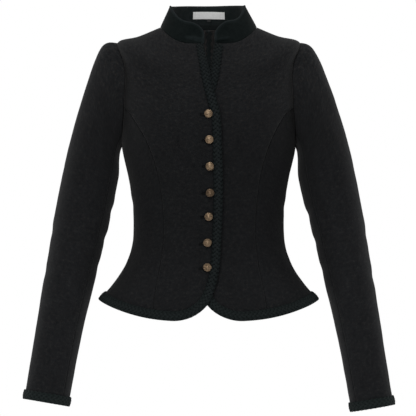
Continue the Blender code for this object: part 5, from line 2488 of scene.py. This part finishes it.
@dataclass(frozen=True)
class StandCollar:
    """The stand collar with its rolled edge, and the label and tab inside its back."""

    torso: Torso
    height: float = 0.0395
    ends: dict[Side, float] = field(default_factory=lambda: {Side.RIGHT: 0.0074, Side.LEFT: 0.0100})
    end_height: float = 0.0140
    # Dips of the top edge, by the share of the way from the middle: amount, place and spread
    dips: tuple[Triple, ...] = ((-0.0010, 0.0, 0.30), (0.0030, 0.45, 0.25), (0.0028, 0.885, 0.07))
    side_dip: Triple = (0.0020, 0.55, 0.20)
    # Folds that rise from the ends: the slope of each, then its amount, height and spread
    drags: tuple[tuple[float, Triple], ...] = (
        (0.10, (1.0, 0.0085, 0.0028)),
        (0.04, (-0.8, 0.0034, 0.0018)),
    )
    drag: Triple = (0.0015, 0.012, 0.016)
    corner: float = 0.034
    lean: Pair = (16.0, 8.0)
    side_lean: dict[Side, float] = field(default_factory=lambda: {Side.RIGHT: 23.8, Side.LEFT: 28.5})
    cloth: float = 0.0028
    seam_gap: float = 0.00032
    laid_gap: float = 0.00045
    roll: float = 0.0015
    swell: Triple = (0.00035, 0.04, 4.0)
    # The rolled edge's bead, the groove below it and the hollow at the seam, as ridges
    bead: Triple = (0.00042, 0.0017, 0.0011)
    groove: Triple = (0.00030, 0.0044, 0.0010)
    foot: Triple = (0.0003, 0.0, 0.0012)
    # Places round the neck's front and its back, evenly round both, round an end, between ends
    counts: tuple[int, ...] = (160, 120, 401, 26, 112)
    smoothings: int = 6
    edge_counts: tuple[int, int, int] = (60, 12, 14)
    edge_ends: Pair = (0.004, 0.06)
    end_columns: Pair = (0.00008, 0.0003)
    low_rows: Quad = (0.0, 0.02, 0.045, 0.08)
    middle_rows: tuple[float, float, int] = (0.13, 0.82, 9)
    high_rows: tuple[float, ...] = (0.86, 0.895, 0.92, 0.94, 0.958, 0.972)
    rim_rows: tuple[float, float, int] = (0.020, 0.25, 7)
    # Ribbons: half the width, the lowest and highest height on the collar, the thickness
    label: Quad = (0.0296, 0.0161, 0.0287, 0.0006)
    tab: Quad = (0.0033, 0.0115, 0.0160, 0.0006)
    patch_shift: float = 0.0004
    patch_step: float = 0.0006
    patch_rows: int = 18
    patch_swell: Quad = (0.00030, 0.6, 0.4, 260.0)
    label_tilt: float = 0.0006
    # The tape's reach below and above the seam, its gap from the collar and its thickness
    tape: Quad = (0.0026, 0.0060, 0.0004, 0.0007)
    tape_from: float = 0.012
    tape_grid: tuple[int, int] = (150, 12)
    stitch_rows: Triple = (0.0008, 0.0006, 0.0019)
    stitch_inset: float = 0.0011
    cut: Cut = Cut(0.405, 0.045, 0.0165)
    narrowest: float = 0.005

    def base(self) -> tuple[Array, Array, Array]:
        """The seam line round the neck: run, points and lean, from the right end to the left."""
        torso, half = self.torso, math.pi / 2
        parts = []
        for side in (Side.RIGHT, Side.LEFT):
            end = float(torso.angle_at(self.ends[side], torso.top, Face.FRONT))
            front = np.linspace(end, half, self.counts[0])
            back = np.linspace(half, 0, self.counts[1])[1:]
            angle = np.concatenate([front, back])
            face = np.array([Face.FRONT] * len(front) + [Face.BACK] * len(back))
            points = torso.skin(angle, torso.top, face, side)
            centre = np.where(face == Face.FRONT, *self.lean)
            lean = np.radians(blend(centre, self.side_lean[side], np.sin(angle) ** 2))
            parts.append((points, lean))
        points = np.concatenate([parts[0][0], parts[1][0][::-1][1:]])
        lean = np.concatenate([parts[0][1], parts[1][1][::-1][1:]])
        return travelled(points), points, lean

    def place(self, along: Array, up: Array, out: Array) -> Array:
        """Points of the collar.

        Args:
            along: the run from the right end.
            up: the height along its slope.
            out: how far out from its outer face.

        Returns:
            The points.
        """
        run, points, lean = self.base()
        even = np.linspace(0, run[-1], self.counts[2])
        base = np.stack([np.interp(even, run, points[:, k]) for k in range(3)], axis=-1)
        ways = smoothed(unit(np.gradient(base, axis=0)), self.smoothings)
        outward = unit(np.stack([-ways[:, 1], ways[:, 0], np.zeros(len(even))], axis=-1))
        outward *= np.sign((outward * base * [1, 1, 0]).sum(axis=1, keepdims=True))

        def at(values: Array) -> Array:
            """The values at each run."""
            return np.stack([np.interp(along, even, values[:, k]) for k in range(3)], axis=-1)

        tilt = np.interp(along, run, lean)[..., None]
        high = np.array([0.0, 0.0, 1.0])
        foot, way = at(base), unit(at(outward))
        rise = high * np.cos(tilt) - way * np.sin(tilt)
        face = way * np.cos(tilt) + high * np.sin(tilt)
        return foot + high * self.seam_gap + rise * up[..., None] + face * out[..., None]

    def inset(self, from_end: Array, up: Array) -> Array:
        """Each place's distance from the collar's free edge, in its own plane.

        Args:
            from_end: the run from the nearer end.
            up: the height along the slope.

        Returns:
            The distances.
        """
        bends, sides, tops = self.edge_counts
        below, beyond = self.edge_ends
        turns = np.linspace(0, math.pi / 2, bends)
        rise = blend(self.end_height, self.height, np.sin(turns))
        corner = np.stack([self.corner * (1 - np.cos(turns)), rise], axis=-1)
        front = np.stack([np.zeros(sides), np.linspace(-below, self.end_height, sides)], axis=-1)
        top = np.stack([np.linspace(self.corner, beyond, tops), np.full(tops, self.height)], axis=-1)
        line = np.concatenate([front, corner, top])
        best = self.height - up
        flat = np.stack([from_end, up], axis=-1)
        for a, b in zip(line, line[1:]):
            way = b - a
            t = np.clip(((flat - a) @ way) / max(float(way @ way), 1e-12), 0, 1)
            best = np.minimum(best, np.linalg.norm(flat - a - t[..., None] * way, axis=-1))
        return best

    def collar(self) -> bpy.types.Object:
        """The collar itself."""
        length = float(self.base()[0][-1])
        turns = np.linspace(0, math.pi / 2, self.counts[3])
        start = self.corner * (1 - np.cos(turns))
        start = np.sort(np.concatenate([start, self.end_columns]))
        middle = np.linspace(self.corner, length - self.corner, self.counts[4])[1:-1]
        along = np.concatenate([start, middle, length - start[::-1]])
        from_end = np.minimum(along, length - along)
        sunk = np.clip(self.corner - from_end, 0, None) / self.corner
        heights = blend(self.end_height, self.height, np.sqrt(1 - sunk * sunk))
        deep, first, count = self.rim_rows
        rim = 1 - deep * (1 - np.sin(np.linspace(first, math.pi / 2, count)))
        rows = np.concatenate([self.low_rows, np.linspace(*self.middle_rows), self.high_rows, rim])
        along, up = np.broadcast_arrays(along[None], rows[:, None] * heights[None])
        inset = self.inset(np.minimum(along, length - along), up)
        inset = np.where(rows[:, None] == 1.0, 0.0, inset)
        inset[:, [0, -1]] = 0.0
        half = self.cloth / 2 * np.sqrt(1 - (1 - np.minimum(inset / self.roll, 1)) ** 2)
        full = half / (self.cloth / 2)
        bead = ridge(inset, self.bead) * full
        groove = ridge(inset, self.groove) * full
        amount, size, seed = self.swell
        soft = amount * ripple(np.stack([along, up, 0 * up], axis=-1), size, seed) * full
        from_end = np.minimum(along, length - along)
        drag = sum(ridge(up - from_end * slope, size) for slope, size in self.drags)
        soft = soft + drag * ridge(from_end, self.drag) * full
        share = along / length * 2 - 1
        lower = ridge(np.abs(share), self.side_dip) + sum(ridge(share, dip) for dip in self.dips)
        up = up + lower * (up / self.height) ** 1.5
        foot = ridge(up, self.foot) * full
        outer = self.place(along, up, -self.cloth / 2 + half + bead - groove + soft - foot)
        inner = self.place(along, up, -self.cloth / 2 - half + soft - bead * 0.4 + groove * 0.3)
        lay = np.stack([along, np.broadcast_to(inset, up.shape)], axis=-1)
        lined = inset[:-1, :-1] > self.roll
        made = SheetMesh(outer, inner, lay, lined=lined).build("felt_collar", (GREEN_FELT, GREEN_FACING))
        fit(made, Slot.GREEN, "collar")
        self.cut.declare(made)
        return made

    def patch(
        self, name: str, size: Quad, finish: Finish, slot: Slot, node: str
    ) -> bpy.types.Object:
        """A ribbon on the inside of the collar's back.

        Args:
            name: the object's name.
            size: half its width, its lowest and highest height on the collar, its thickness.
            finish: its finish.
            slot: its slot.
            node: the CAD node that it stands for.

        Returns:
            The object.
        """
        half, low, high, thick = size
        middle = self.nape() + self.patch_shift
        across = np.linspace(-half, half, max(int(half / self.patch_step), 8))
        rows = np.linspace(low, high, self.patch_rows)
        along, up = np.broadcast_arrays(middle + across[None], rows[:, None])
        up = up - self.dip(along - middle)
        held = np.abs(across[None]) / half
        deep, usual, swing, often = self.patch_swell
        swell = deep * (1 - held**6) * (usual + swing * np.sin(along * often)) * np.ones_like(up)
        out = -self.cloth - self.laid_gap - swell
        face, back = self.place(along, up, out - thick), self.place(along, up, out)
        lay = np.stack([along - middle, up], axis=-1)
        made = SheetMesh(face, back, lay, rim=0.00006).build(name, (finish,))
        fit(made, slot, node)
        return made

    def nape(self) -> float:
        """The run at the middle of the back."""
        run, points, _ = self.base()
        behind = points[:, 1] > 0
        return float(np.interp(0.0, points[behind, 0], run[behind]))

    def dip(self, across: Array) -> Array:
        """How far the ribbons hang lower toward the wearer's left."""
        return self.label_tilt * np.clip(across / self.label[0], 0, 1) ** 1.5

    def neck_tape(self) -> bpy.types.Object:
        """The tape that covers the neck seam inside the back."""
        below, above, gap, thick = self.tape
        run, points, _ = self.base()
        behind = run[points[:, 1] > self.tape_from]
        columns = np.linspace(behind[0], behind[-1], self.tape_grid[0])
        rows = np.linspace(-below, above, self.tape_grid[1])
        along, up = np.broadcast_arrays(columns[None], rows[:, None])
        faces = [self.place(along, up, np.full(up.shape, -self.cloth - gap - deep)) for deep in (thick, 0.0)]
        made = SheetMesh(*faces, np.stack([along, up], axis=-1), rim=0.0001).build("neck_tape", (NECK_TAPE,))
        return fit(made, Slot.GREEN)

    def label_stitches(self) -> bpy.types.Object:
        """The stitches at the label's two ends."""
        half, low, high, thick = self.label
        middle = self.nape() + self.patch_shift
        first, last, pitch = self.stitch_rows
        rows = np.arange(low + first, high - last, pitch)
        spots = []
        for sign in (-1, 1):
            along = np.full(len(rows), middle + sign * (half - self.stitch_inset))
            up = rows - self.dip(along - middle)
            out = np.full(len(up), -self.cloth - self.laid_gap - thick)
            at = self.place(along, up, out)
            way = unit(self.place(along, up + 0.001, out) - at)
            spots.append((at, way, unit(self.place(along, up, out - 0.001) - at)))
        at, way, face = (np.concatenate(parts) for parts in zip(*spots))
        thread = Stitches(length=0.0013, height=0.00016, thick=0.00026, seed=9)
        return fit(thread.sew("label_stitches", at, way, face, WHITE_TWIST), Slot.LABEL)

    def build(self) -> None:
        """Makes the collar, the tape at its seam, its label and its tab."""
        self.collar()
        self.neck_tape()
        self.patch("bare_label", self.label, LABEL_RIBBON, Slot.LABEL, "label")
        self.patch("bare_tab", self.tab, TAB_RIBBON, Slot.TAB, "size_tab")
        self.label_stitches()


# ------------------------------------------------------------------ the studio


@dataclass(frozen=True)
class SoftLight:
    """A wide soft lamp aimed at a place."""

    name: str
    at: Triple
    aim: Triple
    size: Pair
    watts: float

    def build(self) -> None:
        """Hangs the lamp."""
        lamp = bpy.data.lights.new(self.name, "AREA")
        lamp.shape = "RECTANGLE"
        lamp.size, lamp.size_y = self.size
        lamp.energy = self.watts
        made = linked(self.name, lamp)
        made.location = self.at
        way = np.array(self.aim) - np.array(self.at)
        made.rotation_euler = aim_angles(way)


def aim_angles(way: Array) -> Triple:
    """The turns that point an object's -Z along a way, level."""
    flat = math.hypot(way[0], way[1])
    return (math.atan2(flat, -way[2]), 0.0, math.atan2(-way[0], way[1]))


@dataclass(frozen=True)
class Studio:
    """A white room with soft lamps, a pale floor and the camera in front."""

    camera_at: Triple = (-0.0012, -3.2, -0.31)
    lens: float = 161.1
    sensor: float = 36.0
    far: float = 50.0
    floor_z: float = -1.37
    floor_radius: float = 5.2
    floor_sides: int = 96
    ambient: float = 0.35
    lamps: tuple[SoftLight, ...] = (
        SoftLight("key", (-0.40, -2.6, 1.6), (0, 0, -0.30), (1.6, 1.6), 60.0),
        SoftLight("fill", (1.4, -2.5, -0.1), (0, 0, -0.35), (1.8, 1.8), 6.0),
        SoftLight("rim_right", (-2.2, 0.9, 0.2), (0, 0, -0.35), (1.2, 2.2), 30.0),
        SoftLight("rim_left", (2.2, 0.9, 0.2), (0, 0, -0.35), (1.2, 2.2), 30.0),
        SoftLight("top", (0.0, 0.2, 2.2), (0, 0, 0), (1.6, 1.6), 24.0),
        SoftLight("bounce", (0.0, -1.5, -1.25), (0, 0, -0.52), (1.8, 1.0), 5.5),
    )

    def room(self) -> None:
        """The world: white to look at, a dimmer grey to be lit by."""
        world = bpy.data.worlds.new("white_room")
        world.use_nodes = True
        bpy.context.scene.world = world
        shop = NodeShop(world.node_tree)
        seen = shop.node("ShaderNodeLightPath").other("Is Camera Ray")
        strength = seen * (1.0 - self.ambient) + self.ambient
        back = shop.node("ShaderNodeBackground", None, {"Color": (1.0, 1.0, 1.0), "Strength": strength})
        shop.node("ShaderNodeOutputWorld", None, {"Surface": back})

    def floor(self) -> None:
        """The floor, a wide flat disc."""
        shape = bmesh.new()
        bmesh.ops.create_circle(shape, cap_ends=True, radius=self.floor_radius, segments=self.floor_sides)
        bmesh.ops.translate(shape, verts=shape.verts, vec=(0, 0, self.floor_z))
        mesh = bpy.data.meshes.new("studio_floor")
        shape.to_mesh(mesh)
        shape.free()
        mesh.materials.append(FLOOR.material())
        linked("studio_floor", mesh)

    def camera(self) -> None:
        """The camera, level with the jacket's middle."""
        lens = bpy.data.cameras.new("front_camera")
        lens.lens, lens.sensor_width, lens.clip_end = self.lens, self.sensor, self.far
        made = linked("front_camera", lens)
        made.location = self.camera_at
        made.rotation_euler = (math.pi / 2, 0.0, 0.0)
        bpy.context.scene.camera = made

    def build(self) -> None:
        """Sets up the room, the lamps and the camera."""
        bpy.context.scene.view_settings.view_transform = "Standard"
        self.room()
        self.floor()
        for lamp in self.lamps:
            lamp.build()
        self.camera()


@dataclass(frozen=True)
class Jacket:
    """The whole jacket."""

    torso: Torso = Torso()
    plait: Plait = Plait()

    def build(self) -> None:
        """Makes every piece in order."""
        buttons = ButtonRow(self.torso)
        bodice = Bodice(self.torso, buttons)
        edging = Edging(bodice, self.plait)
        for side in Side:
            bodice.front(side)
            bodice.back(side)
            for face in Face:
                bodice.side_panel(face, side)
            sleeve = Sleeve(SleeveForm(side, self.torso))
            sleeve.build()
            edging.edge(side)
            edging.cuff(sleeve)
        bodice.back_lining()
        StandCollar(self.torso).build()
        for number in range(len(buttons.places)):
            fit(buttons.button(number), Slot.BRASS, f"button_{number + 1}")
        bodice.buttonholes()


def main() -> None:
    """Builds the studio and the jacket."""
    logging.basicConfig(level=logging.INFO, format="%(message)s")
    Studio().build()
    Jacket().build()


if __name__ == "__main__":
    main()
